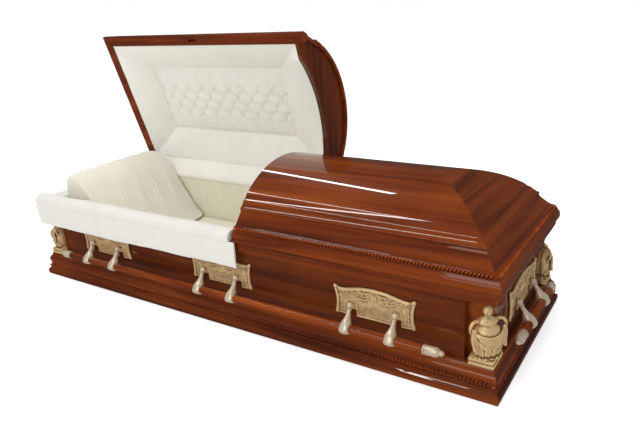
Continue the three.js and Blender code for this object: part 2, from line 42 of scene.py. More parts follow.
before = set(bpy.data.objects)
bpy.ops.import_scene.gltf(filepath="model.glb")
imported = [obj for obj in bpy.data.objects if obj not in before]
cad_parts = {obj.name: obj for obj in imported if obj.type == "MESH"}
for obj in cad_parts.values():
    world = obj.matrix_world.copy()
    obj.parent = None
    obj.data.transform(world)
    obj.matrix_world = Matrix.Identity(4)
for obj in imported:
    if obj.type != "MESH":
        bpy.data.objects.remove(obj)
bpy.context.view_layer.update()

MM = 0.001
LID_HINGE = Vector((0, 0.3465, 0.354))
LID_OPEN = math.radians(75.3)
LID_CUT = {"head": 0.0915, "foot": 0.0945}
PIVOT_HEIGHT = 0.202
PIVOT_OUT = 0.0175
ARM_TILT = math.radians(-30)
REACH = 0.074
SIDES = {
    "front": {"turn": 0, "face": 0.3155, "centres": (-0.649, 0, 0.649), "wood": 0.842},
    "back": {"turn": math.pi, "face": 0.3155, "centres": (-0.649, 0, 0.649), "wood": 0.842},
    "head": {"turn": -math.pi / 2, "face": 1.0262, "centres": (0,), "wood": 0.155},
    "foot": {"turn": math.pi / 2, "face": 1.0262, "centres": (0,), "wood": 0.155},
}


# Modelling helpers


def object_mode():
    if bpy.context.object and bpy.context.object.mode != "OBJECT":
        bpy.ops.object.mode_set(mode="OBJECT")


def deselect():
    object_mode()
    bpy.ops.object.select_all(action="DESELECT")


def activate(obj):
    deselect()
    obj.select_set(True)
    bpy.context.view_layer.objects.active = obj


def take(name):
    obj = bpy.context.active_object
    obj.name = name
    obj.data.name = name
    return obj


def apply_place(obj):
    activate(obj)
    bpy.ops.object.transform_apply(location=True, rotation=True, scale=True)


def add_modifier(obj, kind, **settings):
    modifier = obj.modifiers.new(kind.title(), kind)
    for key, value in settings.items():
        setattr(modifier, key, value)
    activate(obj)
    bpy.ops.object.modifier_apply(modifier=modifier.name)


def soften(obj, width, segments=2, angle=30):
    add_modifier(
        obj, "BEVEL", width=width, segments=segments, limit_method="ANGLE",
        angle_limit=math.radians(angle), use_clamp_overlap=True,
    )


def tidy_mesh(obj, distance=1e-5):
    activate(obj)
    bpy.ops.object.mode_set(mode="EDIT")
    bpy.ops.mesh.select_all(action="SELECT")
    bpy.ops.mesh.remove_doubles(threshold=distance)
    bpy.ops.mesh.dissolve_degenerate(threshold=1e-6)
    bpy.ops.mesh.normals_make_consistent(inside=False)
    object_mode()


def smooth_by(obj, degrees):
    activate(obj)
    bpy.ops.object.shade_smooth_by_angle(angle=math.radians(degrees))


def weigh_normals(obj, half_x, half_y):
    """Keeps long flat faces flat in their shading, with a crease along the mitres of a frame."""
    vertices = obj.data.vertices
    for edge in obj.data.edges:
        a, b = (vertices[i].co for i in edge.vertices)
        diagonal = abs(a.x - b.x) > 1e-5 and abs(a.y - b.y) > 1e-5
        offsets = [abs((half_x - abs(co.x)) - (half_y - abs(co.y))) for co in (a, b)]
        if diagonal and max(offsets) < 0.0004:
            edge.use_edge_sharp = True
    add_modifier(obj, "WEIGHTED_NORMAL", keep_sharp=True)


def move_vertices(obj, place):
    for vertex in obj.data.vertices:
        vertex.co = place(vertex.co.copy())
    obj.data.update()


def outline(name, points, closed=True, filled=False):
    deselect()
    bpy.ops.mesh.primitive_circle_add(vertices=len(points), fill_type="NGON" if filled else "NOTHING")
    obj = take(name)
    for vertex, point in zip(obj.data.vertices, points):
        vertex.co = point
    if not closed:
        shape = bmesh.new()
        shape.from_mesh(obj.data)
        shape.verts.ensure_lookup_table()
        last = shape.edges.get((shape.verts[0], shape.verts[-1]))
        shape.edges.remove(last)
        shape.to_mesh(obj.data)
        shape.free()
    return obj


def mitred_ring(name, profile, half_x, half_y, closed=True):
    corner = [(-(half_x - inset) * MM, -(half_y - inset) * MM, z * MM) for inset, z in profile]
    obj = outline(name, corner, closed)
    activate(obj)
    bpy.ops.object.mode_set(mode="EDIT")
    bpy.ops.mesh.select_all(action="SELECT")
    for step in range(4):
        flip = (-1, 1, 1) if step % 2 == 0 else (1, -1, 1)
        bpy.ops.mesh.extrude_edges_move()
        bpy.ops.transform.resize(value=flip, center_override=(0, 0, 0))
    object_mode()
    tidy_mesh(obj)
    return obj


def saw(obj, position, keep_foot, axis=0):
    activate(obj)
    bpy.ops.object.mode_set(mode="EDIT")
    bpy.ops.mesh.select_all(action="SELECT")
    point = [0, 0, 0]
    point[axis] = position
    normal = [0, 0, 0]
    normal[axis] = 1
    bpy.ops.mesh.bisect(
        plane_co=point, plane_no=normal, use_fill=True, clear_inner=keep_foot, clear_outer=not keep_foot
    )
    object_mode()


def open_with_lid(obj):
    turn = Matrix.Rotation(-LID_OPEN, 4, "X")
    obj.matrix_world = Matrix.Translation(LID_HINGE) @ turn @ Matrix.Translation(-LID_HINGE) @ obj.matrix_world
    apply_place(obj)


def lathe(name, profile, steps=32):
    """profile is a list of (radius, height) in millimetres, from one end of the axis to the other."""
    obj = outline(name, [(r * MM, 0, z * MM) for r, z in profile], closed=False)
    add_modifier(
        obj, "SCREW", axis="Z", angle=math.tau, steps=steps, render_steps=steps,
        use_merge_vertices=True, merge_threshold=1e-6,
    )
    tidy_mesh(obj, 1e-6)
    return obj


def extrude_face(obj, offset):
    activate(obj)
    bpy.ops.object.mode_set(mode="EDIT")
    bpy.ops.mesh.select_all(action="SELECT")
    bpy.ops.mesh.extrude_region_move(TRANSFORM_OT_translate={"value": offset})
    object_mode()
    tidy_mesh(obj, 1e-7)


def inset_faces(obj, test, steps):
    """Insets the faces that pass the test, once for each (thickness, depth) of steps."""
    object_mode()
    mesh = obj.data
    for group in (mesh.vertices, mesh.edges):
        for item in group:
            item.select = False
    for polygon in mesh.polygons:
        polygon.select = test(polygon)
    activate(obj)
    bpy.ops.object.mode_set(mode="EDIT")
    bpy.ops.mesh.select_mode(type="FACE")
    for thickness, depth in steps:
        bpy.ops.mesh.inset(thickness=thickness, depth=depth, use_even_offset=True)
    bpy.ops.mesh.select_mode(type="VERT")
    object_mode()


def draped(name, columns, rows, place):
    """A grid laid out by place(u, v), with u along the columns and v along the rows, both from 0 to 1."""
    deselect()
    bpy.ops.mesh.primitive_grid_add(x_subdivisions=columns, y_subdivisions=rows, size=1)
    obj = take(name)
    for vertex in obj.data.vertices:
        vertex.co = place(vertex.co.x + 0.5, vertex.co.y + 0.5)
    obj.data.update()
    return obj


def bead(name, place, size, tilt=(0, 0, 0), segments=8, rings=6):
    deselect()
    bpy.ops.mesh.primitive_uv_sphere_add(
        segments=segments, ring_count=rings, radius=1, location=place, rotation=tilt, scale=size
    )
    obj = take(name)
    apply_place(obj)
    return obj


def wire(name, points, radius, taper=None, resolution=3, cyclic=False):
    """A round moulding along smooth points, as a mesh."""
    curve = bpy.data.curves.new(name, "CURVE")
    curve.dimensions = "3D"
    curve.bevel_depth = radius
    curve.bevel_resolution = resolution
    curve.use_fill_caps = True
    curve.resolution_u = 4
    spline = curve.splines.new("NURBS")
    spline.points.add(len(points) - 1)
    for i, point in enumerate(points):
        spline.points[i].co = (*point, 1)
        spline.points[i].radius = taper(i / (len(points) - 1)) if taper else 1
    spline.order_u = 3
    spline.use_endpoint_u = not cyclic
    spline.use_cyclic_u = cyclic
    obj = bpy.data.objects.new(name, curve)
    bpy.context.scene.collection.objects.link(obj)
    activate(obj)
    bpy.ops.object.convert(target="MESH")
    obj = bpy.context.active_object
    tidy_mesh(obj, 1e-6)
    return obj


def join(name, parts):
    activate(parts[0])
    for part in parts[1:]:
        part.select_set(True)
    bpy.ops.object.join()
    return take(name)


def twin(obj, name, matrix):
    copy = obj.copy()
    copy.data = obj.data.copy()
    copy.name = name
    copy.data.name = name
    bpy.context.scene.collection.objects.link(copy)
    copy.matrix_world = matrix @ obj.matrix_world
    apply_place(copy)
    if matrix.determinant() < 0:
        tidy_mesh(copy, 1e-7)
    return copy


def discard(obj):
    bpy.data.objects.remove(obj)


def dress(obj, finish, body, slot, *nodes):
    if finish:
        obj.data.materials.clear()
        obj.data.materials.append(finish)
    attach(obj, body)
    if nodes:
        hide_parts(*nodes)
    return obj


def smoothstep(t):
    t = min(max(t, 0), 1)
    return t * t * (3 - 2 * t)


# Finishes


class Finish:
    """A material under construction: nodes are added by type, and linked by (node, socket)."""

    def __init__(self, name):
        self.material = bpy.data.materials.new(name)
        self.material.use_nodes = True
        self.tree = self.material.node_tree
        self.shader = self.tree.nodes["Principled BSDF"]
        self.place = self.add("ShaderNodeTexCoord").outputs["Object"]

    def add(self, kind, inputs=None, **settings):
        node = self.tree.nodes.new(kind)
        for key, value in settings.items():
            setattr(node, key, value)
        for key, value in (inputs or {}).items():
            self.set(node, key, value)
        return node

    def set(self, node, key, value):
        if isinstance(value, bpy.types.NodeSocket):
            self.tree.links.new(value, node.inputs[key])
        else:
            node.inputs[key].default_value = value

    def stretched(self, scale):
        return self.add("ShaderNodeMapping", {"Vector": self.place, "Scale": scale}).outputs["Vector"]

    def turn_grain(self, mitre):
        """Swaps X and Y on a frame's end runs, which meet its long runs at mitres."""
        parts = self.add("ShaderNodeSeparateXYZ", {"Vector": self.place}).outputs
        end = self.math("SUBTRACT", self.math("ABSOLUTE", parts["X"]), mitre)
        turned = self.math("GREATER_THAN", end, self.math("ABSOLUTE", parts["Y"]))
        swapped = self.add("ShaderNodeCombineXYZ", {"X": parts["Y"], "Y": parts["X"], "Z": parts["Z"]})
        self.place = self.mix(turned, self.place, swapped.outputs["Vector"])

    def noise(self, vector, scale, detail=4.0, distortion=0.0, roughness=0.5):
        return self.add(
            "ShaderNodeTexNoise",
            {"Vector": vector, "Scale": scale, "Detail": detail, "Distortion": distortion, "Roughness": roughness},
        ).outputs["Fac"]

    def ramp(self, value, stops):
        node = self.add("ShaderNodeValToRGB", {"Fac": value})
        elements = node.color_ramp.elements
        while len(elements) < len(stops):
            elements.new(0.5)
        for element, (position, colour) in zip(elements, stops):
            element.position = position
            element.color = (*colour, 1) if len(colour) == 3 else colour
        return node.outputs["Color"]

    def mix(self, factor, a, b, blend="MIX"):
        node = self.add("ShaderNodeMix", data_type="RGBA", blend_type=blend)
        self.set(node, 0, factor)
        self.set(node, 6, (*a, 1) if isinstance(a, tuple) and len(a) == 3 else a)
        self.set(node, 7, (*b, 1) if isinstance(b, tuple) and len(b) == 3 else b)
        return node.outputs[2]

    def math(self, operation, a, b=0.0):
        return self.add("ShaderNodeMath", {0: a, 1: b}, operation=operation).outputs[0]

    def hollows(self, distance):
        """Open surfaces give 1 and hollows less, by ambient occlusion; the finishes use it to paint shade into hollows.
        """
        return self.add("ShaderNodeAmbientOcclusion", {"Distance": distance}, samples=6).outputs["AO"]

    def bump(self, height, strength, distance=0.001, under=None):
        inputs = {"Height": height, "Strength": strength, "Distance": distance}
        if under is not None:
            inputs["Normal"] = under
        return self.add("ShaderNodeBump", inputs).outputs["Normal"]

    def surface(self, **inputs):
        for key, value in inputs.items():
            self.set(self.shader, key.replace("_", " "), value)
        return self.material


def mahogany(name, grain="X", tone=1.0, scale=1.0, carved=False, painted_light_recess=None, mitre=None):
    """Lacquered mahogany; grain is the axis it runs along. Beyond the given |Y| the colour is painted lighter, as
    painted light on the corner recess, and carving can get painted shade in its hollows.
    """
    wood = Finish(name)
    if mitre is not None:
        wood.turn_grain(mitre)
    along, across = 0.6 * scale, 13.0 * scale
    stretch = {"X": (along, across, across), "Y": (across, along, across), "Z": (across, across, along)}[grain]
    fine_stretch = tuple(value * (2.2 if value == along else 9) for value in stretch)
    figure = wood.noise(wood.stretched(stretch), 1.6, 5, 0.9)
    streak = wood.noise(wood.stretched(fine_stretch), 2.2, 3, 0.2, 0.6)
    cloud = wood.noise(wood.place, 2.1, 2, 0.4)
    light = tuple(c * tone for c in (0.255, 0.053, 0.0045))
    middle = tuple(c * tone for c in (0.175, 0.030, 0.0026))
    dark = tuple(c * tone for c in (0.068, 0.0102, 0.0020))
    colour = wood.ramp(figure, [(0.28, dark), (0.5, middle), (0.74, light)])
    pores = wood.ramp(streak, [(0.33, (0.42, 0.36, 0.34)), (0.52, (1, 1, 1))])
    colour = wood.mix(0.45, colour, pores, "MULTIPLY")
    shade = wood.ramp(cloud, [(0.3, (0.72, 0.70, 0.70)), (0.7, (1.12, 1.08, 1.05))])
    colour = wood.mix(0.7, colour, shade, "MULTIPLY")
    # Painted light: the corner recess walls beyond the given |Y| are painted about three times lighter, standing in for
    # light falling on them.
    if painted_light_recess is not None:
        depth = wood.add("ShaderNodeSeparateXYZ", {"Vector": wood.place}).outputs["Y"]
        inside = wood.math("GREATER_THAN", wood.math("ABSOLUTE", depth), painted_light_recess)
        colour = wood.mix(inside, colour, wood.mix(1.0, colour, (2.6, 3.0, 2.4), "MULTIPLY"))
    # Painted shade: ambient occlusion darkens the gaps between carved beads nearly to black, where shade falls, and
    # lifts the open bead tops 1.5 times as painted light.
    if carved:
        gap_shade_mask = wood.hollows(0.005)
        depth = wood.ramp(gap_shade_mask, [(0.45, (0.05, 0.035, 0.03)), (0.92, (1.5, 1.5, 1.5))])
        colour = wood.mix(1.0, colour, depth, "MULTIPLY")
    return wood.surface(
        Base_Color=colour, Roughness=0.35, Specular_IOR_Level=0.08, Coat_Weight=1.0, Coat_Roughness=0.02,
        Normal=wood.bump(streak, 0.04, 0.0003),
    )


def cloth(name, colour, weave=900.0, wrinkle=0.35):
    fabric = Finish(name)
    warp = fabric.add(
        "ShaderNodeTexWave", {"Vector": fabric.place, "Scale": weave / 6, "Distortion": 0.6},
        bands_direction="X",
    ).outputs["Fac"]
    weft = fabric.add(
        "ShaderNodeTexWave", {"Vector": fabric.place, "Scale": weave / 6, "Distortion": 0.6},
        bands_direction="Z",
    ).outputs["Fac"]
    thread = fabric.math("ADD", warp, weft)
    crepe = fabric.noise(fabric.stretched((30, 60, 60)), 4, 4, 0.8)
    soft = fabric.noise(fabric.place, 9, 3, 0.5)
    shade = fabric.ramp(soft, [(0.25, tuple(c * 0.93 for c in colour)), (0.75, colour)])
    normal = fabric.bump(crepe, wrinkle, 0.0012)
    normal = fabric.bump(thread, 0.12, 0.0002, normal)
    return fabric.surface(
        Base_Color=shade, Roughness=0.82, Sheen_Weight=0.25, Sheen_Roughness=0.5, Normal=normal,
    )


def cast_metal(name, bright, patina_and_shade, roughness=0.34, metallic=0.9, grain=60.0, depth=0.006):
    """Cast and plated metal, darker in its hollows partly as antique patina and partly as painted shade, with painted
    highlights on its raised edges.
    """
    metal = Finish(name)
    mottle = metal.noise(metal.place, grain, 4, 0.3)
    # Painted highlight: convex edges (pointiness) are pushed towards the bright colour. Painted shade: ambient
    # occlusion darkens hollows, partly standing for antique patina.
    ridge_highlight = metal.math("SUBTRACT", metal.add("ShaderNodeNewGeometry").outputs["Pointiness"], 0.5)
    level = metal.math("ADD", metal.math("MULTIPLY", metal.hollows(depth), 0.62), metal.math("MULTIPLY", mottle, 0.28))
    level = metal.math("ADD", level, metal.math("MULTIPLY", ridge_highlight, 1.6))
    half = tuple(0.5 * a + 0.5 * b for a, b in zip(bright, patina_and_shade))
    colour = metal.ramp(level, [(0.44, patina_and_shade), (0.66, half), (0.77, bright)])
    rough = metal.add(
        "ShaderNodeMapRange", {"Value": level, "From Min": 0.4, "From Max": 1.1, "To Min": 0.62, "To Max": roughness}
    ).outputs["Result"]
    return metal.surface(
        Base_Color=colour, Metallic=metallic, Roughness=rough, Normal=metal.bump(mottle, 0.15, 0.0004)
    )


def plain_metal(name, colour, roughness):
    metal = Finish(name)
    mottle = metal.noise(metal.place, 45, 4, 0.4)
    scratch = metal.noise(metal.stretched((160, 160, 30)), 5, 3, 0.2)
    shade = metal.ramp(mottle, [(0.3, tuple(c * 0.86 for c in colour)), (0.7, colour)])
    rough = metal.add(
        "ShaderNodeMapRange",
        {"Value": scratch, "From Min": 0.3, "From Max": 0.7, "To Min": roughness * 0.8, "To Max": roughness * 1.3},
    ).outputs["Result"]
    return metal.surface(
        Base_Color=shade, Metallic=1.0, Roughness=rough, Normal=metal.bump(scratch, 0.04, 0.0002)
    )


FINISHES = {}


def make_finishes():
    sizes = bpy.context.scene.casket
    tone = sizes.wood_tone
    FINISHES["long"] = mahogany("mahogany_long", "X", tone * 0.85, mitre=0.715)
    FINISHES["head_lid"] = mahogany("mahogany_head_lid", "X", tone)
    FINISHES["foot_lid"] = mahogany("mahogany_foot_lid", "X", tone * 0.95, mitre=0.721)
    # The rope finish has painted shade in the gaps between its beads.
    FINISHES["rope"] = mahogany("mahogany_rope_gap_shade", "X", tone * 1.1, 1.0, carved=True)
    FINISHES["panel"] = mahogany("mahogany_panel", "X", tone * 0.62)
    # The end panels' corner recess walls get painted light beyond |Y| 0.286.
    FINISHES["end_panel"] = mahogany("mahogany_end_panel", "Y", tone * 0.62, painted_light_recess=0.286)
    FINISHES["header"] = mahogany("mahogany_header", "Z", tone * 0.62)
    FINISHES["rod"] = mahogany("mahogany_rod", "X", tone * 1.15, 3.0)
    FINISHES["rod_cross"] = mahogany("mahogany_rod_cross", "Y", tone * 1.15, 3.0)
    FINISHES["cloth"] = cloth("ivory_crepe", tuple(sizes.cloth_colour))
    FINISHES["bed"] = cloth("bed_crepe", tuple(c * f for c, f in zip(sizes.cloth_colour, (0.97, 0.94, 0.82))))
    # Painted shade: the overlay is the same crepe as the linings, painted darker so it does not look too bright under
    # the front fill light.
    FINISHES["overlay"] = cloth("overlay_crepe_painted_shade", tuple(c * 0.84 for c in sizes.cloth_colour))
    FINISHES["pillow"] = cloth("cream_crepe", tuple(sizes.pillow_colour))
    # Both castings carry painted shade in their hollows and painted highlights on raised edges.
    FINISHES["gold"] = cast_metal("antique_gold", tuple(sizes.gold_colour), (0.10, 0.042, 0.012), 0.25, 0.55, 60, 0.007)
    FINISHES["pale"] = cast_metal("pale_metal", (1.0, 0.83, 0.62), (0.12, 0.07, 0.03), 0.16, 0.65, 40, 0.016)
    FINISHES["steel"] = plain_metal("hinge_steel", (0.55, 0.54, 0.51), 0.35)


# Shapes shared by several pieces

BASE_PROFILE = [
    (0, 0), (-3, 3), (-5, 11), (-5, 20), (-3.5, 26), (1, 29), (5, 32), (6, 37), (3.2, 40.5), (2.6, 44.5),
    (5, 47), (9.5, 48), (10.8, 50), (10.8, 63), (8, 65), (7, 68), (7.3, 75), (9.5, 82), (13.5, 87.5),
    (18, 91), (18, 97), (20.5, 98.6), (23, 103), (40.2, 103), (40.2, 0),
]
RAIL_PROFILE = [
    (16, 302.3), (14.3, 304), (12.8, 308), (12, 313.5), (10.5, 317.3), (7, 319.3), (6, 321), (6, 334),
    (4.6, 338), (1.6, 340.4), (0, 343), (0, 347), (70, 347), (70, 302.3),
]
RIM_PROFILE = [
    (0, 349.5), (0.2, 352), (1.5, 368), (3.3, 372.6), (5.5, 374.6), (7.2, 377.5), (9, 384), (12, 388.5),
    (17, 391), (19, 396), (21.5, 399.6), (26, 402), (31, 403), (45, 403), (45, 349.5),
]
DOME_CENTRE = 217


def dome_arc(radius, start, stop, steps):
    points = []
    for i in range(steps + 1):
        y = start + (stop - start) * i / steps
        points.append((342 - y, DOME_CENTRE + math.sqrt(radius * radius - y * y)))
    return points


CROWN_OUTER = (
    dome_arc(364, 0, 236, 34)
    + [(342 - y, z) for y, z in (
        (245, 483.5), (253, 479), (258.5, 473), (264, 466), (271, 458.6), (277, 455.6), (279, 453.5),
        (279, 449), (277.5, 447), (281, 438), (290.5, 427), (301, 415.5), (308, 407), (311, 403.3),
    )]
)
CROWN_INNER = [(342 - y, z) for y, z in ((293, 403.3), (261, 440), (250, 455))] + dome_arc(349, 232, 0, 14)


def arch_height(y):
    half, top, foot = 0.235, 0.405, 0.3495
    radius = (half ** 2 + (top - foot) ** 2) / (2 * (top - foot))
    return top - radius + math.sqrt(max(radius * radius - y * y, 0)) if abs(y) < half else foot


# Woodwork


def rope_run(name, start, step, count, size, tilt):
    """Slanted carved beads in a row, from start, each step further."""
    obj = bead(name, start, size, tilt)
    add_modifier(
        obj, "ARRAY", count=count, use_relative_offset=False, use_constant_offset=True,
        constant_offset_displace=step,
    )
    return obj


def rope_frame(name, half_x, half_y, z, pitch, size, lean):
    """Carved rope round a rectangle, as four runs of beads."""
    runs = []
    for sign in (-1, 1):
        count = int((2 * half_x - 2 * pitch) / pitch)
        start = (-(count - 1) * pitch / 2, sign * half_y, z)
        tilt = (0, lean * sign, 0)
        runs.append(rope_run(name, start, (pitch, 0, 0), count, size, tilt))
        count = int((2 * half_y - 2 * pitch) / pitch)
        start = (sign * half_x, -(count - 1) * pitch / 2, z)
        turned = (size[1], size[0], size[2])
        tilt = (lean * sign, 0, 0)
        runs.append(rope_run(name, start, (0, pitch, 0), count, turned, tilt))
    return join(name, runs)


class CASKET_OT_mouldings(bpy.types.Operator):
    """The moulded frames round the foot and the top of the box, with the carved band of the base"""

    bl_idname = "casket.mouldings"
    bl_label = "Base and rail mouldings"

    def execute(self, context):
        base = mitred_ring("base_frame", BASE_PROFILE, 1067, 356)
        soften(base, 0.0008)
        smooth_by(base, 38)
        weigh_normals(base, 1.067, 0.356)
        dress(base, FINISHES["long"], "casket", "mahogany", "base_moulding")
        rail = mitred_ring("rail_frame", RAIL_PROFILE, 1058, 338)
        soften(rail, 0.0008)
        smooth_by(rail, 38)
        weigh_normals(rail, 1.058, 0.338)
        dress(rail, FINISHES["long"], "casket", "mahogany", "top_moulding")
        rows = [
            rope_frame("braid", 1.0565, 0.3455, z, 0.0125, (0.0080, 0.0050, 0.0038), lean)
            for z, lean in ((0.0607, math.radians(40)), (0.0527, math.radians(-40)))
        ]
        # A ring behind the braid's beads, so the gaps show the rope finish's painted shade instead of the base behind.
        bed = mitred_ring("braid_shadow_bed", [(10.6, 49), (10.2, 50), (10.2, 63), (10.6, 64), (14, 64), (14, 49)], 1067, 356)
        carving = join("base_carving", rows + [bed])
        smooth_by(carving, 60)
        dress(carving, FINISHES["rope"], "casket", "mahogany")
        return {"FINISHED"}


class CASKET_OT_walls(bpy.types.Operator):
    """The box's walls and bottom, in lacquered mahogany"""

    bl_idname = "casket.walls"
    bl_label = "Walls and bottom"

    def execute(self, context):
        finishes = {
            "front_panel": "panel", "back_panel": "panel", "bottom_board": "long",
            "head_end_panel": "end_panel", "foot_end_panel": "end_panel",
        }
        for node, finish in finishes.items():
            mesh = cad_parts[node].data
            mesh.materials.clear()
            mesh.materials.append(FINISHES[finish])
        return {"FINISHED"}


def header_board(end):
    face = LID_CUT[end] + (0.0115 if end == "foot" else -0.0115)
    inner = [(y, z) for y, z in ((0.297, 0.3495), (0.297, 0.403), (0.2923, 0.403), (0.2603, 0.4393), (0.2493, 0.4543))]
    for i in range(13):
        y = 0.2315 * (1 - i / 12)
        inner.append((y, (DOME_CENTRE + math.sqrt(349 ** 2 - (y / MM) ** 2) - 0.7) * MM))
    arch = []
    for i in range(25):
        y = 0.235 * (i / 12 - 1)
        arch.append((y, arch_height(y)))
    right = inner
    left = [(-y, z) for y, z in reversed(inner[:-1])]
    points = [(face, y, z) for y, z in right + left + arch]
    board = outline(f"{end}_header", points, filled=True)
    extrude_face(board, (0.019 if end == "foot" else -0.019, 0, 0))
    return board


def lid_rim(end):
    rim = mitred_ring(f"{end}_lid_rim", RIM_PROFILE, 1063, 342)
    saw(rim, LID_CUT[end], end == "foot")
    soften(rim, 0.0007)
    if end == "head":
        deselect()
        bpy.ops.mesh.primitive_cube_add(size=1, location=(-0.486, -0.3195, 0.350), scale=(0.046, 0.011, 0.026))
        cutter = take("catch_cutter")
        apply_place(cutter)
        add_modifier(rim, "BOOLEAN", operation="DIFFERENCE", object=cutter, solver="EXACT")
        discard(cutter)
    board = header_board(end)
    rim.data.materials.append(FINISHES[f"{end}_lid"])
    board.data.materials.append(FINISHES["header"])
    rim = join(f"{end}_lid_rim", [rim, board])
    smooth_by(rim, 38)
    weigh_normals(rim, 1.063, 0.342)
    rope = rope_frame(f"{end}_lid_rope", 1.0495, 0.3285, 0.3945, 0.0116, (0.0086, 0.0042, 0.0036), math.radians(48))
    cut_beads(rope, end)
    # A ring behind the rope's beads that carries the rope finish's painted shade into the gaps.
    shadow_bed_profile = [(11.4, 386.6), (10.8, 389.4), (15.2, 391), (18, 397), (20, 398.6), (22, 397), (14, 386)]
    bed = mitred_ring("rope_shadow_bed", shadow_bed_profile, 1063, 342)
    saw(bed, LID_CUT[end], end == "foot")
    rope = join(f"{end}_lid_rope", [rope, bed])
    smooth_by(rope, 60)
    return rim, rope


def cut_beads(rope, end):
    """Leaves the beads of one lid: whole beads on its side of the saw cut."""
    activate(rope)
    shape = bmesh.new()
    shape.from_mesh(rope.data)
    limit = LID_CUT[end]
    lost = []
    for vertex in shape.verts:
        inside = vertex.co.x > limit + 0.009 if end == "foot" else vertex.co.x < limit - 0.009
        if not inside:
            lost.append(vertex)
    bmesh.ops.delete(shape, geom=lost, context="VERTS")
    holes = [edge for edge in shape.edges if len(edge.link_faces) == 1]
    bmesh.ops.holes_fill(shape, edges=holes)
    shape.to_mesh(rope.data)
    shape.free()


def crown(end):
    shell = mitred_ring(f"{end}_crown", CROWN_OUTER + CROWN_INNER, 1063, 342, closed=False)
    saw(shell, LID_CUT[end], end == "foot")
    soften(shell, 0.0012, 3, 24)
    smooth_by(shell, 24)
    weigh_normals(shell, 1.063, 0.342)
    return shell


class CASKET_OT_lids(bpy.types.Operator):
    """Both lids: rim with carved rope and header board, and the domed crown"""

    bl_idname = "casket.lids"
    bl_label = "Lids"

    def execute(self, context):
        for end in ("head", "foot"):
            rim, rope = lid_rim(end)
            shell = crown(end)
            if end == "head":
                for piece in (rim, rope, shell):
                    open_with_lid(piece)
            body = f"{end}_lid"
            dress(rim, None, body, "mahogany", f"{end}_lid_frame")
            dress(rope, FINISHES["rope"], body, "mahogany")
            dress(shell, FINISHES[body], body, "mahogany", f"{end}_lid_crown")
        for node in ("box_hinge_leaf", "head_lid_hinge_leaf", "foot_lid_hinge_leaf"):
            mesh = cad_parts[node].data
            mesh.materials.clear()
            mesh.materials.append(FINISHES["steel"])
        return {"FINISHED"}


# Handles

ARM_PROFILE = [
    (0, 10.8), (4, 10.3), (7.6, 8), (10, 3.6), (10.6, 0), (10, -3.8), (8.4, -7.4), (7.1, -10.2), (6.5, -14),
    (6.5, -19), (7.3, -27), (9, -36), (12, -45), (16, -53), (19.2, -61), (21, -69), (21.4, -77),
    (20.6, -84), (18.4, -88.6), (14, -91.6), (8, -92.8), (0, -93),
]
TIP_PROFILE = [
    (0, 0), (15.4, 0), (15.9, 1.2), (15.9, 4), (14.7, 5.2), (14.7, 6.6), (15.3, 7.6), (15.3, 41), (14.6, 44.5),
    (11.5, 49.5), (9, 52.5), (8.6, 54), (8.8, 56.5), (8.2, 59.5), (5.8, 63.4), (2.6, 65.6), (0, 66),
]


def side_matrix(side):
    return Matrix.Rotation(side["turn"], 4, "Z")


def swing_matrix(side, x):
    place = Matrix.Translation((x, -side["face"] - PIVOT_OUT, PIVOT_HEIGHT))
    return side_matrix(side) @ place @ Matrix.Rotation(ARM_TILT, 4, "X")


def make_arm():
    arm = lathe("arm", ARM_PROFILE, 28)

    def shape(co):
        if co.z < -0.030 and co.y < -0.008:
            share = smoothstep((-0.030 - co.z) / 0.020)
            flat = -0.0085 - (co.y + 0.0085) * 0.25 - 0.0095 * share
            co.y = max(co.y, co.y + (flat - co.y) * 0.0 + (-(0.008 + 0.0105 * share) - co.y) * 0.75 * share)
        return co

    move_vertices(arm, shape)
    deselect()
    bpy.ops.mesh.primitive_cube_add(size=1, location=(0, 0.004, 0.0005), scale=(0.009, 0.021, 0.024))
    cutter = take("slot_cutter")
    apply_place(cutter)
    add_modifier(arm, "BOOLEAN", operation="DIFFERENCE", object=cutter, solver="EXACT")
    discard(cutter)
    leaf = bead("leaf", (0, -0.0155, -0.071), (0.0062, 0.0035, 0.0125), (math.radians(-6), 0, 0), 14, 10)
    collar = lathe("collar", [(6.9, -11), (8.3, -12.2), (8.3, -14.2), (6.9, -15.4)], 24)
    arm = join("arm", [arm, leaf, collar])
    smooth_by(arm, 40)
    return arm


class CASKET_OT_handles(bpy.types.Operator):
    """Swing arms, bars and bar tips on all four sides"""

    bl_idname = "casket.handles"
    bl_label = "Handles"

    def execute(self, context):
        arm = make_arm()
        tip = lathe("tip", TIP_PROFILE, 28)
        tip.matrix_world = Matrix.Rotation(math.pi / 2, 4, "Y")
        apply_place(tip)
        smooth_by(tip, 40)
        for name, side in SIDES.items():
            body = f"{name}_handle"
            pivots = [x + shift for x in side["centres"] for shift in (-0.081, 0.081)]
            for i, x in enumerate(pivots):
                piece = twin(arm, f"{name}_swing_arm_{i + 1}", swing_matrix(side, x))
                dress(piece, FINISHES["pale"], body, "pale_metal", f"{name}_arm_{i + 1}")
            hang = swing_matrix(side, 0)
            deselect()
            bpy.ops.mesh.primitive_cylinder_add(vertices=32, radius=0.0139, depth=2 * side["wood"])
            rod = take(f"{name}_rod")
            rod.matrix_world = hang @ Matrix.Translation((0, 0, -REACH)) @ Matrix.Rotation(math.pi / 2, 4, "Y")
            apply_place(rod)
            soften(rod, 0.0008)
            smooth_by(rod, 40)
            finish = "rod" if name in ("front", "back") else "rod_cross"
            dress(rod, FINISHES[finish], body, "mahogany", f"{name}_bar")
            for i, end in enumerate((-1, 1)):
                flip = Matrix.Rotation(0 if end > 0 else math.pi, 4, "Z")
                place = hang @ Matrix.Translation((end * (side["wood"] + 0.0003), 0, -REACH)) @ flip
                piece = twin(tip, f"{name}_bar_tip_{i + 1}", place)
                dress(piece, FINISHES["pale"], body, "pale_metal", f"{name}_tip_{i + 1}")
        discard(arm)
        discard(tip)
        return {"FINISHED"}


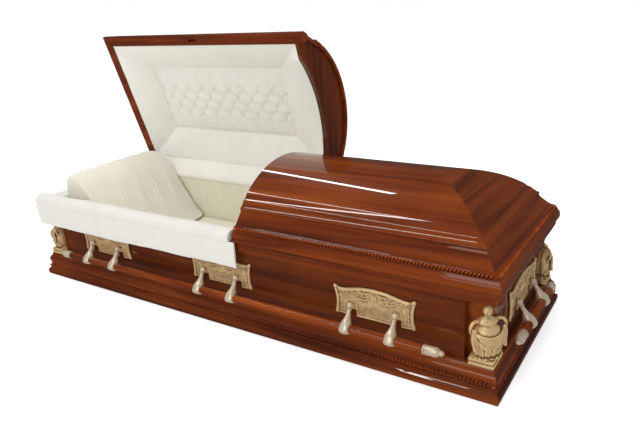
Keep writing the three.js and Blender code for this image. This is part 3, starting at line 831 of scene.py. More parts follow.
# Backing plates

PLATE_SIDE = [
    (143, 162), (139.5, 170), (137.2, 184), (136.4, 200), (136.8, 216), (138.6, 232), (141.5, 244),
    (144.8, 252), (143.5, 258), (138, 259), (131, 254.6), (122, 253.6), (106, 255), (88, 258.4),
    (68, 263), (46, 267.2), (23, 269.4),
]


def plate_outline():
    slot_half, slot_top, bottom = 16, 202, 160

    def slot(x):
        points = [(x - slot_half, bottom)]
        for i in range(13):
            angle = math.pi * (1 - i / 12)
            points.append((x + slot_half * math.cos(angle), slot_top + slot_half * math.sin(angle)))
        points.append((x + slot_half, bottom))
        return points

    left = [(-x, z) for x, z in reversed(PLATE_SIDE)]
    points = slot(-81) + slot(81) + PLATE_SIDE + [(0, 270)] + left
    return [(x * MM, 0, z * MM) for x, z in points]


def spiral(centre, radius, turns, start, direction, steps=16):
    points = []
    for i in range(steps):
        t = i / (steps - 1)
        angle = start + direction * turns * math.tau * t
        r = radius * (1 - 0.82 * t)
        points.append((centre[0] + r * math.cos(angle), centre[1] + r * math.sin(angle)))
    return points


def plate_relief(depth):
    """Vine scrolls with leaves about a rosette, on the plate's upper field."""
    parts = []

    def vine(points, radius=2.1):
        path = [(x * MM, depth, z * MM) for x, z in points]
        parts.append(wire("vine", path, radius * MM, lambda t: 1.15 - 0.5 * t, 2))

    def leaf(x, z, long, wide, degrees):
        size = (long * MM, 2.4 * MM, wide * MM)
        parts.append(bead("leaf", (x * MM, depth, z * MM), size, (0, math.radians(-degrees), 0), 10, 8))

    for mirror in (-1, 1):
        for centre, radius, start, direction in (
            ((34, 240), 12, 180, -1), ((58, 234), 11, 200, 1), ((106, 237), 11, 170, -1), ((127, 226), 7, 100, 1),
        ):
            base = math.radians(start if mirror > 0 else 180 - start)
            vine(spiral((mirror * centre[0], centre[1]), radius, 1.15, base, direction * mirror))
        vine([(mirror * x, z) for x, z in ((14, 232), (26, 226), (46, 224), (70, 229), (92, 243), (116, 246), (128, 238))])
        for x, z, long, wide, turn in (
            (45, 250, 8, 3.2, 28), (24, 250, 7, 3, -35), (70, 242, 8, 3.2, 40), (82, 247, 8, 3.2, 12),
            (94, 228, 7, 3, -30), (118, 228, 7, 3, -60), (122, 205, 4, 9, 0), (122, 188, 3.4, 8, 8),
            (110, 178, 5, 3, 30), (47, 214, 8, 3, -12), (30, 217, 7, 2.8, 14),
        ):
            leaf(mirror * x, z, long, wide, mirror * turn)
    for i in range(7):
        angle = math.tau * i / 7
        leaf(8 * math.cos(angle), 238 + 8 * math.sin(angle), 5.4, 3.4, math.degrees(angle))
    parts.append(bead("heart", (0, depth, 0.238), (0.0042, 0.0036, 0.0042), (0, 0, 0), 12, 8))
    for z in (199, 190, 181):
        for i in range(15):
            parts.append(bead("pearl", ((i - 7) * 6.6 * MM, depth + 0.0004, z * MM), (0.0022, 0.0016, 0.0016), (0, 0, 0), 6, 4))
    return parts


def make_plate():
    face = outline("plate", plate_outline(), filled=True)
    extrude_face(face, (0, -0.0060, 0))
    inset_faces(face, lambda polygon: polygon.normal.y < -0.9, ((0.0035, 0), (0.0011, -0.0026)))
    soften(face, 0.0011, 3, 40)
    parts = [face]
    crest = [(x * 0.965, z - 5.2) for x, z in PLATE_SIDE[10:]]
    crest = crest + [(0, 264.8)] + [(-x, z) for x, z in reversed(crest)]
    parts.append(wire("crest", [(x * MM, -0.0046, z * MM) for x, z in crest], 0.0050, None, 4))
    for mirror in (-1, 1):
        parts.append(bead("knob", (mirror * 0.1425, -0.0045, 0.2555), (0.0066, 0.0050, 0.0066), (0, 0, 0), 16, 10))
        roll = [(mirror * x * MM, -0.0042, z * MM) for x, z in ((141.5, 250), (136, 232), (133, 205), (135, 180), (139, 166))]
        parts.append(wire("roll", roll, 0.0052, lambda t: 0.8 + 0.35 * t, 4))
        parts.append(bead("roll_end", (mirror * 0.1385, -0.0045, 0.1655), (0.0066, 0.0052, 0.0066), (0, 0, 0), 16, 10))
        x = mirror * 0.081
        deselect()
        bpy.ops.mesh.primitive_cube_add(size=1, location=(x, -0.0010, 0.200), scale=(0.034, 0.002, 0.036))
        web = take("web")
        apply_place(web)
        deselect()
        bpy.ops.mesh.primitive_cube_add(size=1, location=(x, -0.0110, 0.202), scale=(0.008, 0.0200, 0.0098))
        lug = take("lug")
        apply_place(lug)
        soften(lug, 0.0035, 4)
        parts += [web, lug]
    parts += plate_relief(-0.0042)
    plate = join("plate", parts)
    smooth_by(plate, 42)
    return plate


class CASKET_OT_plates(bpy.types.Operator):
    """The cast backing plates behind the handles"""

    bl_idname = "casket.plates"
    bl_label = "Backing plates"

    def execute(self, context):
        plate = make_plate()
        for name, side in SIDES.items():
            for i, x in enumerate(side["centres"]):
                node = f"{name}_plate_{i + 1}" if len(side["centres"]) > 1 else f"{name}_plate"
                place = side_matrix(side) @ Matrix.Translation((x, -side["face"] - 0.0003, 0))
                piece = twin(plate, node.replace("plate", "backing"), place)
                dress(piece, FINISHES["gold"], "casket", "antique_gold", node)
        discard(plate)
        return {"FINISHED"}


# Corner ornaments

URN_PROFILE = [
    (0, 122), (42, 122), (43, 125), (40, 128), (34, 130), (31, 134), (30, 138), (33, 142), (38, 150),
    (43, 160), (46, 170), (47, 180), (46.4, 190), (44, 200), (40, 209), (35, 217), (29, 223), (25, 227),
    (23.5, 231), (25, 235), (29, 238), (29.5, 241), (27, 244), (19, 250), (12, 255), (8.6, 259), (7.6, 262),
    (9, 264), (12.5, 268), (14, 273), (13.2, 278), (9.5, 283), (5, 287), (0, 289),
]


def make_urn():
    urn = lathe("urn", URN_PROFILE, 48)

    def flute(co):
        if 0.138 < co.z < 0.206:
            share = math.sin(math.pi * (co.z - 0.138) / 0.068)
            angle = math.atan2(co.y, co.x)
            size = 1 - 0.045 * share * (0.5 + 0.5 * math.cos(12 * angle))
            co.x *= size
            co.y *= size
        co.x *= 0.82
        co.y *= 1.04
        return co

    move_vertices(urn, flute)
    parts = [urn]
    for mirror in (-1, 1):
        loop = [(0, 21, 240), (2, 36, 246), (5, 50, 241), (6, 57, 228), (5, 54, 212), (3, 46, 200), (1, 40, 190)]
        parts.append(wire("ear", [(x * MM, mirror * y * MM, z * MM) for x, y, z in loop], 0.0046, lambda t: 1.2 - 0.3 * t, 4))
        parts.append(bead("ear_curl", (0.004, mirror * 0.0405, 0.188), (0.0075, 0.0068, 0.0075), (0, 0, 0), 12, 8))
        for k in range(3):
            fall = [(12 + 2 * k, 50 - 2 * k, 226), (17, 53 - 4 * k, 205), (15 + 3 * k, 51 - 6 * k, 184), (20, 47 - 8 * k, 160 + 6 * k)]
            parts.append(wire("fall", [(x * MM, mirror * y * MM, z * MM) for x, y, z in fall], 0.0042, lambda t: 0.8 + 0.5 * t, 3))
    for k, (drop, out) in enumerate(((0, 0), (7, 1), (14, 1), (21, -1))):
        swag = []
        for i in range(9):
            angle = math.radians(-78 + 156 * i / 8)
            depth = drop * math.cos(angle) ** 2
            radius = 44 + out
            height = 219 - 20 * math.cos(angle) ** 1.5 - depth
            swag.append((radius * 0.84 * math.cos(angle) * MM, radius * 1.1 * math.sin(angle) * MM, height * MM))
        parts.append(wire("swag", swag, 0.0046, lambda t: 0.55 + 0.6 * math.sin(math.pi * t), 3))
    for degrees in (-80, -48, -16, 16, 48, 80):
        blade = bead("blade", (0, 0, 0), (0.0042, 0.0105, 0.021), (0, math.radians(20), 0), 12, 10)
        rib = bead("rib", (0.0036, 0, 0), (0.0022, 0.0016, 0.019), (0, math.radians(20), 0), 8, 8)
        leaf = join("blade", [blade, rib])
        turn = Matrix.Rotation(math.radians(degrees), 4, "Z")
        squeeze = Matrix.Diagonal((0.82, 1.04, 1, 1))
        leaf.matrix_world = squeeze @ turn @ Matrix.Translation((0.037, 0, 0.149))
        apply_place(leaf)
        parts.append(leaf)
    for i in range(9):
        angle = math.radians(-90 + 180 * i / 8)
        parts.append(
            bead("berry", (0.036 * math.cos(angle) * 0.9, 0.0455 * math.sin(angle), 0.1285), (0.0046, 0.0046, 0.004), (0, 0, 0), 8, 6)
        )
    for degrees in range(0, 360, 60):
        turn = Matrix.Rotation(math.radians(degrees), 4, "Z")
        petal = bead("petal", (0, 0, 0), (0.0030, 0.0056, 0.010), (0, math.radians(-14), 0), 8, 6)
        petal.matrix_world = turn @ Matrix.Translation((0.0098, 0, 0.272))
        apply_place(petal)
        parts.append(petal)
    return join("urn", parts)


def plinth_part(name, inner, outer, bottom, top):
    """A square corner step from inner to outer; the ornaments operator hollows it by the box's corner afterwards."""
    points = [(inner[0], inner[1]), (outer[0], inner[1]), (outer[0], outer[1]), (inner[0], outer[1])]
    step = outline(name, [(x, y, bottom) for x, y in points], filled=True)
    extrude_face(step, (0, 0, top - bottom))
    soften(step, 0.0015, 3)
    return step


class CASKET_OT_ornaments(bpy.types.Operator):
    """A draped urn on a stepped plinth at each corner"""

    bl_idname = "casket.ornaments"
    bl_label = "Corner ornaments"

    def execute(self, context):
        urn = make_urn()
        for name, sx, sy in (("front_foot", 1, -1), ("back_foot", 1, 1), ("back_head", -1, 1), ("front_head", -1, -1)):
            place = Matrix.Translation((sx * 1.012, sy * 0.297, 0)) @ Matrix.Rotation(math.atan2(sy, sx), 4, "Z")
            figure = twin(urn, f"urn_{name}", place)
            inner = (sx * 0.968, sy * 0.257)
            steps = [
                plinth_part("step", inner, (sx * 1.046, sy * 0.335), 0.1033, 0.1125),
                plinth_part("step", inner, (sx * 1.0425, sy * 0.3315), 0.1120, 0.1165),
                plinth_part("step", inner, (sx * 1.0445, sy * 0.3335), 0.1160, 0.1255),
            ]
            piece = join(f"urn_{name}", [figure] + steps)
            for x0, x1, y0, y1 in ((0.80, 1.0265, 0.0, 0.2870), (0.80, 0.9516, 0.0, 0.40)):
                deselect()
                bpy.ops.mesh.primitive_cube_add(
                    size=1, location=(sx * (x0 + x1) / 2, sy * (y0 + y1) / 2, 0.2), scale=(x1 - x0, y1 - y0, 0.4)
                )
                cutter = take("wall_cutter")
                apply_place(cutter)
                add_modifier(piece, "BOOLEAN", operation="DIFFERENCE", object=cutter, solver="EXACT", use_self=True)
                discard(cutter)
            smooth_by(piece, 42)
            dress(piece, FINISHES["gold"], "casket", "antique_gold", f"ornament_{name}")
        discard(urn)
        return {"FINISHED"}


# Cloth linings

ROWS = (-0.055, -0.011, 0.033, 0.077)
COLUMN = 0.085
FIRST_BUTTON = -0.872


def tuft(x, y):
    """How far the padding stands proud of the buttons' folds, in metres."""
    pitch = ROWS[1] - ROWS[0]
    u = (x - FIRST_BUTTON) / COLUMN + (y - ROWS[0]) / (2 * pitch)
    v = (x - FIRST_BUTTON) / COLUMN - (y - ROWS[0]) / (2 * pitch)
    diamond = (abs(math.sin(math.pi * u)) * abs(math.sin(math.pi * v))) ** 0.55
    if ROWS[0] <= y <= ROWS[-1]:
        return 0.0085 * diamond
    row = 0 if y < ROWS[0] else len(ROWS) - 1
    away = abs(y - ROWS[row])
    shift = 0 if row % 2 == 0 else 0.5
    fold = abs(math.sin(math.pi * ((x - FIRST_BUTTON) / COLUMN - shift)))
    blend = smoothstep(away / pitch)
    depth = 0.0085 * (1 - 0.45 * smoothstep(away / 0.12))
    return (1 - blend) * 0.0085 * diamond + blend * depth * fold ** 0.28


def lining_height(end, x, y):
    edge, panel = 0.354, 0.430
    rise = panel - edge
    start = LID_CUT[end] + (0.0309 if end == "foot" else -0.0309)
    stop = 1.0174 if end == "foot" else -1.0174
    from_end = abs(stop - x)
    from_split = abs(x - start)
    side = (0.2964 - abs(y)) / 0.127
    far = from_end / 0.127
    arch = max(arch_height(y), edge) if abs(y) < 0.235 else edge
    near = from_split / 0.165
    heights = [edge + rise * min(side, 1) ** 1.25, edge + rise * min(far, 1) ** 1.25]
    heights.append(arch + (panel - arch) * min(max(near, 0), 1) ** 1.25)
    height = min(heights)
    inside = min((side - 1) * 0.127, (far - 1) * 0.127, (near - 1) * 0.165)
    if inside > 0:
        edge_blend = smoothstep(inside / 0.03)
        height = panel + 0.009 * smoothstep(inside / 0.006) - tuft(x, y) * edge_blend
    else:
        ripple = 0.0007 * math.sin(x * 61) * math.sin(y * 47 + 1)
        height += ripple * smoothstep(-inside / 0.02)
    return height


def lid_lining(end, columns, rows):
    start = LID_CUT[end] + (0.0309 if end == "foot" else -0.0309)
    stop = 1.0174 if end == "foot" else -1.0174

    def place(u, v):
        x = start + (stop - start) * u
        y = 0.2964 * (2 * v - 1)
        return (x, y, lining_height(end, x, y))

    sheet = draped(f"{end}_lid_padding", columns, rows, place)
    tidy_mesh(sheet, 1e-7)
    add_modifier(sheet, "SOLIDIFY", thickness=0.004, offset=1 if normal_up(sheet) else -1)
    smooth_by(sheet, 70)
    return sheet


def normal_up(obj):
    return sum(polygon.normal.z * polygon.area for polygon in obj.data.polygons) > 0


class CASKET_OT_linings(bpy.types.Operator):
    """The tufted lid linings with their buttons, and the padded header of the foot lid"""

    bl_idname = "casket.linings"
    bl_label = "Lid linings"

    def execute(self, context):
        head = lid_lining("head", 300, 170)
        buttons = []
        for row, y in enumerate(ROWS):
            shift = 0 if row % 2 == 0 else 0.5
            for k in range(10 if row % 2 == 0 else 9):
                x = FIRST_BUTTON + COLUMN * (k + shift)
                if -0.882 < x < -0.10:
                    buttons.append(bead("button", (x, y, 0.4275), (0.0058, 0.0058, 0.0034), (0, 0, 0), 12, 8))
        studs = join("lining_buttons", buttons)
        smooth_by(studs, 60)
        for piece in (head, studs):
            open_with_lid(piece)
        dress(head, FINISHES["cloth"], "head_lid", "ivory_cloth", "head_lid_lining")
        dress(studs, FINISHES["cloth"], "head_lid", "ivory_cloth")
        foot = lid_lining("foot", 150, 90)
        dress(foot, FINISHES["cloth"], "foot_lid", "ivory_cloth", "foot_lid_lining")
        pad = header_pad()
        dress(pad, FINISHES["cloth"], "foot_lid", "ivory_cloth")
        return {"FINISHED"}


def header_pad():
    points = [(0.2960, 0.3530), (0.2960, 0.3990), (0.2840, 0.4070), (0.2470, 0.4460)]
    for i in range(11):
        y = 0.228 * (1 - i / 10)
        points.append((y, (DOME_CENTRE + math.sqrt(349 ** 2 - (y / MM) ** 2) - 9) * MM))
    left = [(-y, z) for y, z in reversed(points[:-1])]
    arch = []
    for i in range(17):
        y = 0.224 * (i / 8 - 1)
        arch.append((y, max(arch_height(y) - 0.008, 0.353)))
    loop = points + left + arch
    pad = outline("header_pad", [(0.0850, y, z) for y, z in loop], filled=True)
    extrude_face(pad, (0.020, 0, 0))
    soften(pad, 0.006, 5, 50)
    count = 24

    def sleeve_place(u, v):
        y = 0.226 * (2 * v - 1)
        return (0.0865 + 0.084 * u, y, max(arch_height(y) - 0.0045, 0.3505))

    sleeve = draped("header_sleeve", 8, count, sleeve_place)
    add_modifier(sleeve, "SOLIDIFY", thickness=0.003, offset=0)
    pad = join("header_pad", [pad, sleeve])
    smooth_by(pad, 60)
    return pad


# The bed


class CASKET_OT_bed(bpy.types.Operator):
    """Mattress, box lining with its back cloth, and pillow"""

    bl_idname = "casket.bed"
    bl_label = "Bed and pillow"

    def execute(self, context):
        mattress = make_mattress()
        dress(mattress, FINISHES["bed"], "casket", "ivory_cloth", "mattress")
        walls = make_box_lining()
        dress(walls, FINISHES["bed"], "casket", "ivory_cloth", "box_lining")
        pillow = make_pillow()
        dress(pillow, FINISHES["pillow"], "casket", "pillow_cloth", "pillow")
        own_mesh(pillow)
        cover = make_valance()
        dress(cover, FINISHES["cloth"], "casket", "ivory_cloth")
        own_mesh(cover)
        return {"FINISHED"}


def make_mattress():
    deselect()
    bpy.ops.mesh.primitive_cube_add(size=1, location=(0, 0, 0.0792), scale=(1.94, 0.50, 0.1216))
    mattress = take("mattress_pad")
    apply_place(mattress)
    soften(mattress, 0.016, 5)
    activate(mattress)
    bpy.ops.object.mode_set(mode="EDIT")
    bpy.ops.mesh.select_all(action="SELECT")
    bpy.ops.mesh.subdivide(number_cuts=5)
    object_mode()

    def dimple(co):
        if co.z > 0.13:
            co.z -= 0.0025 * (1 + math.sin(co.x * 31) * math.sin(co.y * 37)) * 0.5
        return co

    move_vertices(mattress, dimple)
    smooth_by(mattress, 60)
    return mattress


def rounded_path(half_x, half_y, radius, t):
    """A point and its outward direction on a rounded rectangle, for t from 0 to 1."""
    straight_x = 2 * (half_x - radius)
    straight_y = 2 * (half_y - radius)
    quarter = radius * math.pi / 2
    lengths = [straight_x, quarter, straight_y, quarter, straight_x, quarter, straight_y, quarter]
    distance = (t % 1) * sum(lengths)
    index = 0
    while index < 7 and distance > lengths[index]:
        distance -= lengths[index]
        index += 1
    side = index // 2
    heading = side * math.pi / 2
    corners = [
        Vector((-half_x + radius, -half_y)), Vector((half_x, -half_y + radius)),
        Vector((half_x - radius, half_y)), Vector((-half_x, half_y - radius)),
    ]
    along = Vector((math.cos(heading), math.sin(heading)))
    out = Vector((math.sin(heading), -math.cos(heading)))
    if index % 2 == 0:
        return corners[side] + along * distance, out
    end = corners[side] + along * lengths[index - 1]
    centre = end - out * radius
    turn = distance / radius
    direction = out * math.cos(turn) + along * math.sin(turn)
    return centre + direction * radius, direction


def make_box_lining():
    """Gathered cloth walls with a soft rolled top edge."""
    profile = [
        (0.0, 0.020), (0.0, 0.345), (-0.004, 0.3462), (-0.010, 0.3455), (-0.0135, 0.341), (-0.0138, 0.32),
        (-0.0125, 0.27), (-0.0118, 0.21), (-0.0124, 0.16), (-0.0135, 0.12), (-0.0135, 0.020),
    ]

    def place(u, v):
        spot = v * (len(profile) - 1)
        i = min(int(spot), len(profile) - 2)
        share = spot - i
        out = profile[i][0] + (profile[i + 1][0] - profile[i][0]) * share
        z = profile[i][1] + (profile[i + 1][1] - profile[i][1]) * share
        point, direction = rounded_path(0.9872, 0.2672, 0.002, u)
        gather = 0.0
        if out < -0.008:
            run = u * 5.0
            fade = smoothstep((0.335 - z) / 0.05)
            gather = fade * (0.0016 * math.sin(run * 150 + 2 * math.sin(run * 31)) + 0.0010 * math.sin(run * 67))
        point = point + direction * (out + gather)
        return (point.x, point.y, z)

    walls = draped("box_lining_cloth", 900, 30, place)
    activate(walls)
    tidy_mesh(walls, 1e-5)
    close_ring(walls)
    smooth_by(walls, 60)
    return walls


def close_ring(obj):
    """Bridges the first and last row of a ring's grid, which is its open underside."""
    activate(obj)
    bpy.ops.object.mode_set(mode="EDIT")
    bpy.ops.mesh.select_all(action="DESELECT")
    bpy.ops.mesh.select_mode(type="EDGE")
    bpy.ops.mesh.select_non_manifold()
    bpy.ops.mesh.bridge_edge_loops()
    bpy.ops.mesh.select_mode(type="VERT")
    bpy.ops.mesh.select_all(action="SELECT")
    bpy.ops.mesh.normals_make_consistent(inside=False)
    object_mode()


PILLOW_OUTLINE = [
    (-900, 142.5), (-950, 150), (-968, 200), (-970, 270), (-971, 340), (-971, 400), (-966, 438), (-950, 458),
    (-925, 465), (-895, 460), (-862, 441), (-828, 410), (-795, 370), (-762, 326), (-730, 281), (-700, 240),
    (-672, 204), (-645, 174), (-622, 156), (-613, 148), (-622, 143), (-650, 142.5), (-750, 142.5), (-830, 142.5),
]


def loop_point(points, t):
    """A point on a closed Catmull-Rom loop, for t from 0 to 1."""
    count = len(points)
    spot = (t % 1) * count
    i = int(spot)
    s = spot - i
    a, b, c, d = (Vector(points[(i + k - 1) % count]) for k in range(4))
    return 0.5 * ((2 * b) + (c - a) * s + (2 * a - 5 * b + 4 * c - d) * s * s + (3 * b - a - 3 * c + d) * s ** 3)


def pleats(y):
    """Hand-drawn shirring across the pillow: unequal folds of about 15 mm."""
    wander = 0.9 * math.sin(y * 23) + 0.6 * math.sin(y * 57 + 1.3) + 0.3 * math.sin(y * 131)
    phase = y / 0.0155 + wander
    fold = abs(math.sin(math.pi * phase))
    strength = 0.6 + 0.4 * math.sin(y * 71 + 2)
    return strength * (fold ** 0.6)


def make_pillow():
    middle = Vector((-830, 290))

    def place(u, v):
        across = 2 * v - 1
        y = 0.249 * math.copysign(1 - (1 - abs(across)) ** 1.35, across)
        size = (1 - abs(across) ** 10) ** 0.5 if abs(across) < 1 else 0
        size = 0.84 + 0.16 * size
        toe = 0.80 + 0.20 * (1 - min(abs(across), 1) ** 4) ** 0.5
        point = loop_point(PILLOW_OUTLINE, u)
        offset = point - middle
        lift = 1 + 0.012 * math.cos(across * 2.4)
        x = middle.x + offset.x * (size * toe if offset.x > 0 else 0.2 + 0.8 * size)
        z = middle.y + offset.y * size * (lift if offset.y > 0 else 1)
        top = smoothstep((z - 165) / 60)
        edge = smoothstep((1 - abs(across)) / 0.08)
        depth = 5.2 * pleats(y + 0.02 * math.sin(z * 0.011)) * top * (0.35 + 0.65 * edge)
        direction = offset.normalized()
        if x > -960:
            x -= direction.x * (5.2 - depth)
            z -= direction.y * (5.2 - depth)
        return (max(x, -972) * MM, y, max(z, 140.8) * MM)

    pillow = draped("shirred_pillow", 170, 260, place)
    tidy_mesh(pillow, 1e-5)
    activate(pillow)
    bpy.ops.object.mode_set(mode="EDIT")
    bpy.ops.mesh.select_all(action="DESELECT")
    bpy.ops.mesh.select_mode(type="EDGE")
    bpy.ops.mesh.select_non_manifold()
    bpy.ops.mesh.edge_face_add()
    bpy.ops.mesh.select_mode(type="VERT")
    object_mode()
    smooth_by(pillow, 80)
    return pillow


def make_valance():
    """Cloth that runs from the back wall's lining up to the open lid, in front of the hinge."""
    skin = [
        (0.2512, 0.3330), (0.2516, 0.3420), (0.2560, 0.3520), (0.2650, 0.3640), (0.2790, 0.3790), (0.2950, 0.3920),
        (0.3120, 0.4010), (0.3270, 0.4055), (0.3330, 0.4040), (0.3310, 0.4010), (0.3160, 0.3990), (0.2980, 0.3890),
        (0.2820, 0.3755), (0.2690, 0.3610), (0.2600, 0.3500), (0.2550, 0.3440), (0.2530, 0.3330),
    ]

    def place(u, v):
        x = -0.9870 + 1.083 * u
        y, z = cloth_profile(skin, v)
        sway = 0.0016 * math.sin(x * 17) + 0.0010 * math.sin(x * 43 + 1)
        y += sway * smoothstep((z - 0.345) / 0.02)
        return (x, y, z)

    cover = draped("back_valance", 200, 48, place)
    cap_open_ends(cover)
    smooth_by(cover, 70)
    return cover


def cap_open_ends(obj):
    activate(obj)
    bpy.ops.object.mode_set(mode="EDIT")
    bpy.ops.mesh.select_mode(type="EDGE")
    bpy.ops.mesh.select_all(action="DESELECT")
    bpy.ops.mesh.select_non_manifold()
    bpy.ops.mesh.fill()
    bpy.ops.mesh.select_mode(type="VERT")
    bpy.ops.mesh.select_all(action="SELECT")
    bpy.ops.mesh.normals_make_consistent(inside=False)
    object_mode()


# The overlay cloth

OVERLAY_PATH = {"left": -1.068, "front": -0.352, "foot_end": 0.108, "back_end": 0.300, "corner": 0.014}


def overlay_route(u, foot_end):
    """A point and outward direction along the cloth: from the foot side, round the corner, up the head end."""
    path = OVERLAY_PATH
    radius = path["corner"]
    front_run = foot_end - (path["left"] + radius)
    arc = radius * math.pi / 2
    side_run = path["back_end"] - (path["front"] + radius)
    distance = u * (front_run + arc + side_run)
    if distance <= front_run:
        return Vector((foot_end - distance, path["front"])), Vector((0, -1)), distance
    if distance <= front_run + arc:
        angle = (distance - front_run) / radius
        centre = Vector((path["left"] + radius, path["front"] + radius))
        direction = Vector((-math.sin(angle), -math.cos(angle)))
        return centre + direction * radius, direction, distance
    along = distance - front_run - arc
    return Vector((path["left"], path["front"] + radius + along)), Vector((-1, 0)), distance


def cloth_profile(points, v):
    spot = v * (len(points) - 1)
    i = min(int(spot), len(points) - 2)
    share = spot - i
    a, b = Vector(points[i]), Vector(points[i + 1])
    before = Vector(points[max(i - 1, 0)])
    after = Vector(points[min(i + 2, len(points) - 1)])
    return 0.5 * (
        (2 * a) + (b - before) * share + (2 * before - 5 * a + 4 * b - after) * share ** 2
        + (3 * a - before - 3 * b + after) * share ** 3
    )


DROP_SKIN = [
    (-4, 349), (-1.5, 347.8), (-0.4, 335), (0, 318), (0, 300), (-0.2, 282), (-0.5, 268), (-0.8, 256), (-2, 250.5),
    (-4.2, 250), (-6.0, 254), (-6.6, 270), (-6.8, 300), (-7, 330), (-7, 347.4),
]
ROLL_SKIN = [
    (-86, 348), (-84, 354), (-76, 366), (-62, 376), (-46, 382), (-30, 384), (-16, 381), (-6, 373), (-1.5, 362),
    (-0.6, 352), (-1.5, 347.6), (-12, 347.4), (-30, 347.4), (-50, 347.4), (-70, 347.4),
]


def make_overlay(name, skin, foot_end, columns, rows, wave):
    def place(u, v):
        point, direction, distance = overlay_route(u, foot_end)
        out, z = cloth_profile(skin + [skin[0]], v)
        out, z = wave(out, z, distance, u)
        spot = point + direction * out * MM
        return (spot.x, spot.y, z * MM)

    piece = draped(name, columns, rows, place)
    tidy_mesh(piece, 1e-6)
    activate(piece)
    bpy.ops.object.mode_set(mode="EDIT")
    bpy.ops.mesh.select_all(action="DESELECT")
    bpy.ops.mesh.select_mode(type="EDGE")
    bpy.ops.mesh.select_non_manifold()
    bpy.ops.mesh.fill()
    bpy.ops.mesh.select_mode(type="VERT")
    bpy.ops.mesh.select_all(action="SELECT")
    bpy.ops.mesh.normals_make_consistent(inside=False)
    object_mode()
    smooth_by(piece, 70)
    return piece


def drop_wave(out, z, distance, u):
    hang = smoothstep((352 - z) / 90)
    swing = 0.8 * math.sin(distance * 9.5) + 0.6 * math.sin(distance * 23 + 1) + 0.4 * math.sin(distance * 51)
    swing += 0.8 * math.sin(distance * 30 + z * 0.05) + 0.5 * math.sin(distance * 70 - z * 0.06)
    out += min(hang * swing, 1.5) if out > -5 else min(hang * swing, 1.5)
    z += hang * (2.0 * math.sin(distance * 6 + 0.5) + 1.0 * math.sin(distance * 17))
    return out, z


def roll_wave(out, z, distance, u):
    lift = smoothstep((z - 350) / 25)
    z += lift * (1.6 * math.sin(distance * 11) + 0.9 * math.sin(distance * 29 + 2))
    at_head = smoothstep((distance - 1.14) / 0.06)
    z -= lift * at_head * (z - 352) * 0.62
    return out, z


class CASKET_OT_overlay(bpy.types.Operator):
    """The overlay cloth: a drop outside the rail and a soft roll on top of it"""

    bl_idname = "casket.overlay"
    bl_label = "Overlay cloth"

    def execute(self, context):
        drop = make_overlay("overlay_drop", DROP_SKIN, OVERLAY_PATH["foot_end"], 420, 40, drop_wave)
        dress(drop, FINISHES["overlay"], "casket", "ivory_cloth", "overlay_cloth")
        roll = make_overlay("overlay_roll", ROLL_SKIN, 0.082, 420, 40, roll_wave)
        dress(roll, FINISHES["overlay"], "casket", "ivory_cloth", "overlay_cloth")
        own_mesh(roll)
        return {"FINISHED"}


# Stage


class CASKET_OT_stage(bpy.types.Operator):
    """A pale floor, soft studio lights and the camera"""

    bl_idname = "casket.stage"
    bl_label = "Floor, lights and camera"

    def execute(self, context):
        scene = context.scene
        scene.view_settings.view_transform = "Standard"
        scene.view_settings.look = "None"
        deselect()
        bpy.ops.mesh.primitive_plane_add(size=60, location=(0, 0, -0.0005))
        floor = take("floor")
        apply_place(floor)
        paper = Finish("studio_paper")
        tone = paper.ramp(paper.noise(paper.place, 0.6, 2), [(0.3, (0.86, 0.86, 0.86)), (0.7, (0.89, 0.89, 0.89))])
        paper.surface(Base_Color=tone, Roughness=0.9, Emission_Color=(1, 1, 1, 1), Emission_Strength=0.45)
        floor.data.materials.append(paper.material)
        floor.visible_glossy = False
        world = bpy.data.worlds.new("studio")
        scene.world = world
        world.use_nodes = True
        set_world(world.node_tree)
        lights = (
            ("overhead", (0.3, -0.5, 3.6), (3.6, 2.4), 46, None, False),
            ("front_fill", (0.6, -4.5, 2.4), (3.0, 2.0), 36, None, True),
            ("ridge_strip", (-1.23, 0.75, 2.8), (1.60, 0.10), 11, -21.5, True),
            ("edge_strip", (-0.87, -1.06, 2.8), (2.15, 0.10), 13, -22, True),
        )
        for name, place, size, power, turn, mirrored in lights:
            data = bpy.data.lights.new(name, "AREA")
            data.shape = "RECTANGLE"
            data.size, data.size_y = size
            data.energy = power
            lamp = bpy.data.objects.new(name, data)
            lamp.location = place
            lamp.visible_glossy = mirrored
            if turn is None:
                direction = Vector((0, 0, 0.4)) - Vector(place)
                lamp.rotation_euler = direction.to_track_quat("-Z", "Y").to_euler()
            else:
                lamp.rotation_euler = (0, 0, math.radians(turn))
            scene.collection.objects.link(lamp)
        scene.camera = make_camera(scene)
        return {"FINISHED"}


def set_world(tree):
    """White behind the casket, soft white light on it, and dim surroundings for its lacquer to mirror."""
    background = tree.nodes["Background"]
    rays = tree.nodes.new("ShaderNodeLightPath")
    seen = tree.nodes.new("ShaderNodeMix")
    mirrored = tree.nodes.new("ShaderNodeMix")
    tree.links.new(rays.outputs["Is Glossy Ray"], mirrored.inputs[0])
    mirrored.inputs[2].default_value = 0.78
    mirrored.inputs[3].default_value = 0.06
    tree.links.new(rays.outputs["Is Camera Ray"], seen.inputs[0])
    tree.links.new(mirrored.outputs[0], seen.inputs[2])
    seen.inputs[3].default_value = 1.0
    tree.links.new(seen.outputs[0], background.inputs["Strength"])
    background.inputs["Color"].default_value = (1, 1, 1, 1)


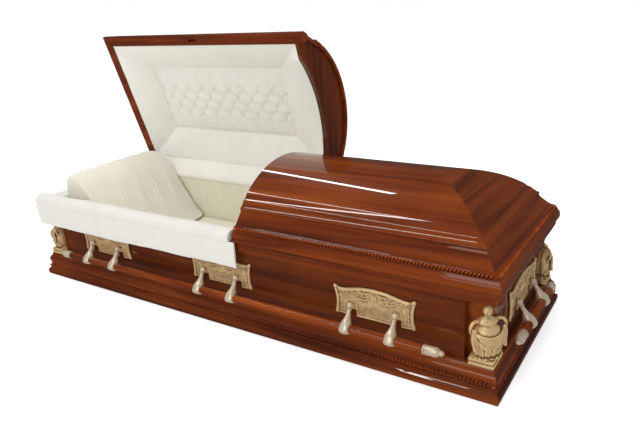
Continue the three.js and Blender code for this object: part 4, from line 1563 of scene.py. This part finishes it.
def make_camera(scene):
    data = bpy.data.cameras.new("camera")
    data.sensor_width = 36
    data.lens = 598.89 / 640 * 36
    data.shift_x = (320 - 345.66) / 640
    data.shift_y = (217.75 - 213.5) / 640
    data.clip_end = 200
    camera = bpy.data.objects.new("camera", data)
    scene.collection.objects.link(camera)
    yaw, pitch, roll = math.radians(32.40), math.radians(20.30), math.radians(-3.41)
    forward = Vector((-math.sin(yaw) * math.cos(pitch), math.cos(yaw) * math.cos(pitch), -math.sin(pitch)))
    right = Vector((math.cos(yaw), math.sin(yaw), 0))
    up = right.cross(forward)
    rolled_right = math.cos(roll) * right + math.sin(roll) * up
    rolled_up = -math.sin(roll) * right + math.cos(roll) * up
    turn = Matrix((rolled_right, rolled_up, -forward)).transposed().to_4x4()
    camera.matrix_world = Matrix.Translation((1.49094, -1.78270, 1.14060)) @ turn
    return camera


class CasketSizes(bpy.types.PropertyGroup):
    wood_tone: FloatProperty(name="Wood tone", description="Lightens or darkens the mahogany", default=1.0, min=0.2, max=2)
    cloth_colour: FloatVectorProperty(
        name="Cloth", description="Colour of the linings", subtype="COLOR", default=(0.75, 0.735, 0.67)
    )
    pillow_colour: FloatVectorProperty(
        name="Pillow", description="Colour of the pillow", subtype="COLOR", default=(0.66, 0.625, 0.53)
    )
    gold_colour: FloatVectorProperty(
        name="Gold", description="Colour of the castings", subtype="COLOR", default=(1.0, 0.70, 0.36)
    )


class CASKET_PT_panel(bpy.types.Panel):
    """Builds the casket's pieces one by one"""

    bl_label = "Casket"
    bl_idname = "CASKET_PT_panel"
    bl_space_type = "VIEW_3D"
    bl_region_type = "UI"
    bl_category = "Casket"

    def draw(self, context):
        for key in CasketSizes.__annotations__:
            self.layout.prop(context.scene.casket, key)
        for operator in OPERATORS:
            self.layout.operator(operator.bl_idname)


OPERATORS = (
    CASKET_OT_stage,
    CASKET_OT_mouldings,
    CASKET_OT_walls,
    CASKET_OT_lids,
    CASKET_OT_handles,
    CASKET_OT_plates,
    CASKET_OT_ornaments,
    CASKET_OT_linings,
    CASKET_OT_bed,
    CASKET_OT_overlay,
)
CLASSES = (CasketSizes, CASKET_PT_panel) + OPERATORS


def register():
    for cls in CLASSES:
        bpy.utils.register_class(cls)
    bpy.types.Scene.casket = PointerProperty(type=CasketSizes)


def unregister():
    del bpy.types.Scene.casket
    for cls in reversed(CLASSES):
        bpy.utils.unregister_class(cls)


def main():
    register()
    make_finishes()
    for operator in OPERATORS:
        group, name = operator.bl_idname.split(".")
        getattr(getattr(bpy.ops, group), name)()


if __name__ == "__main__":
    main()
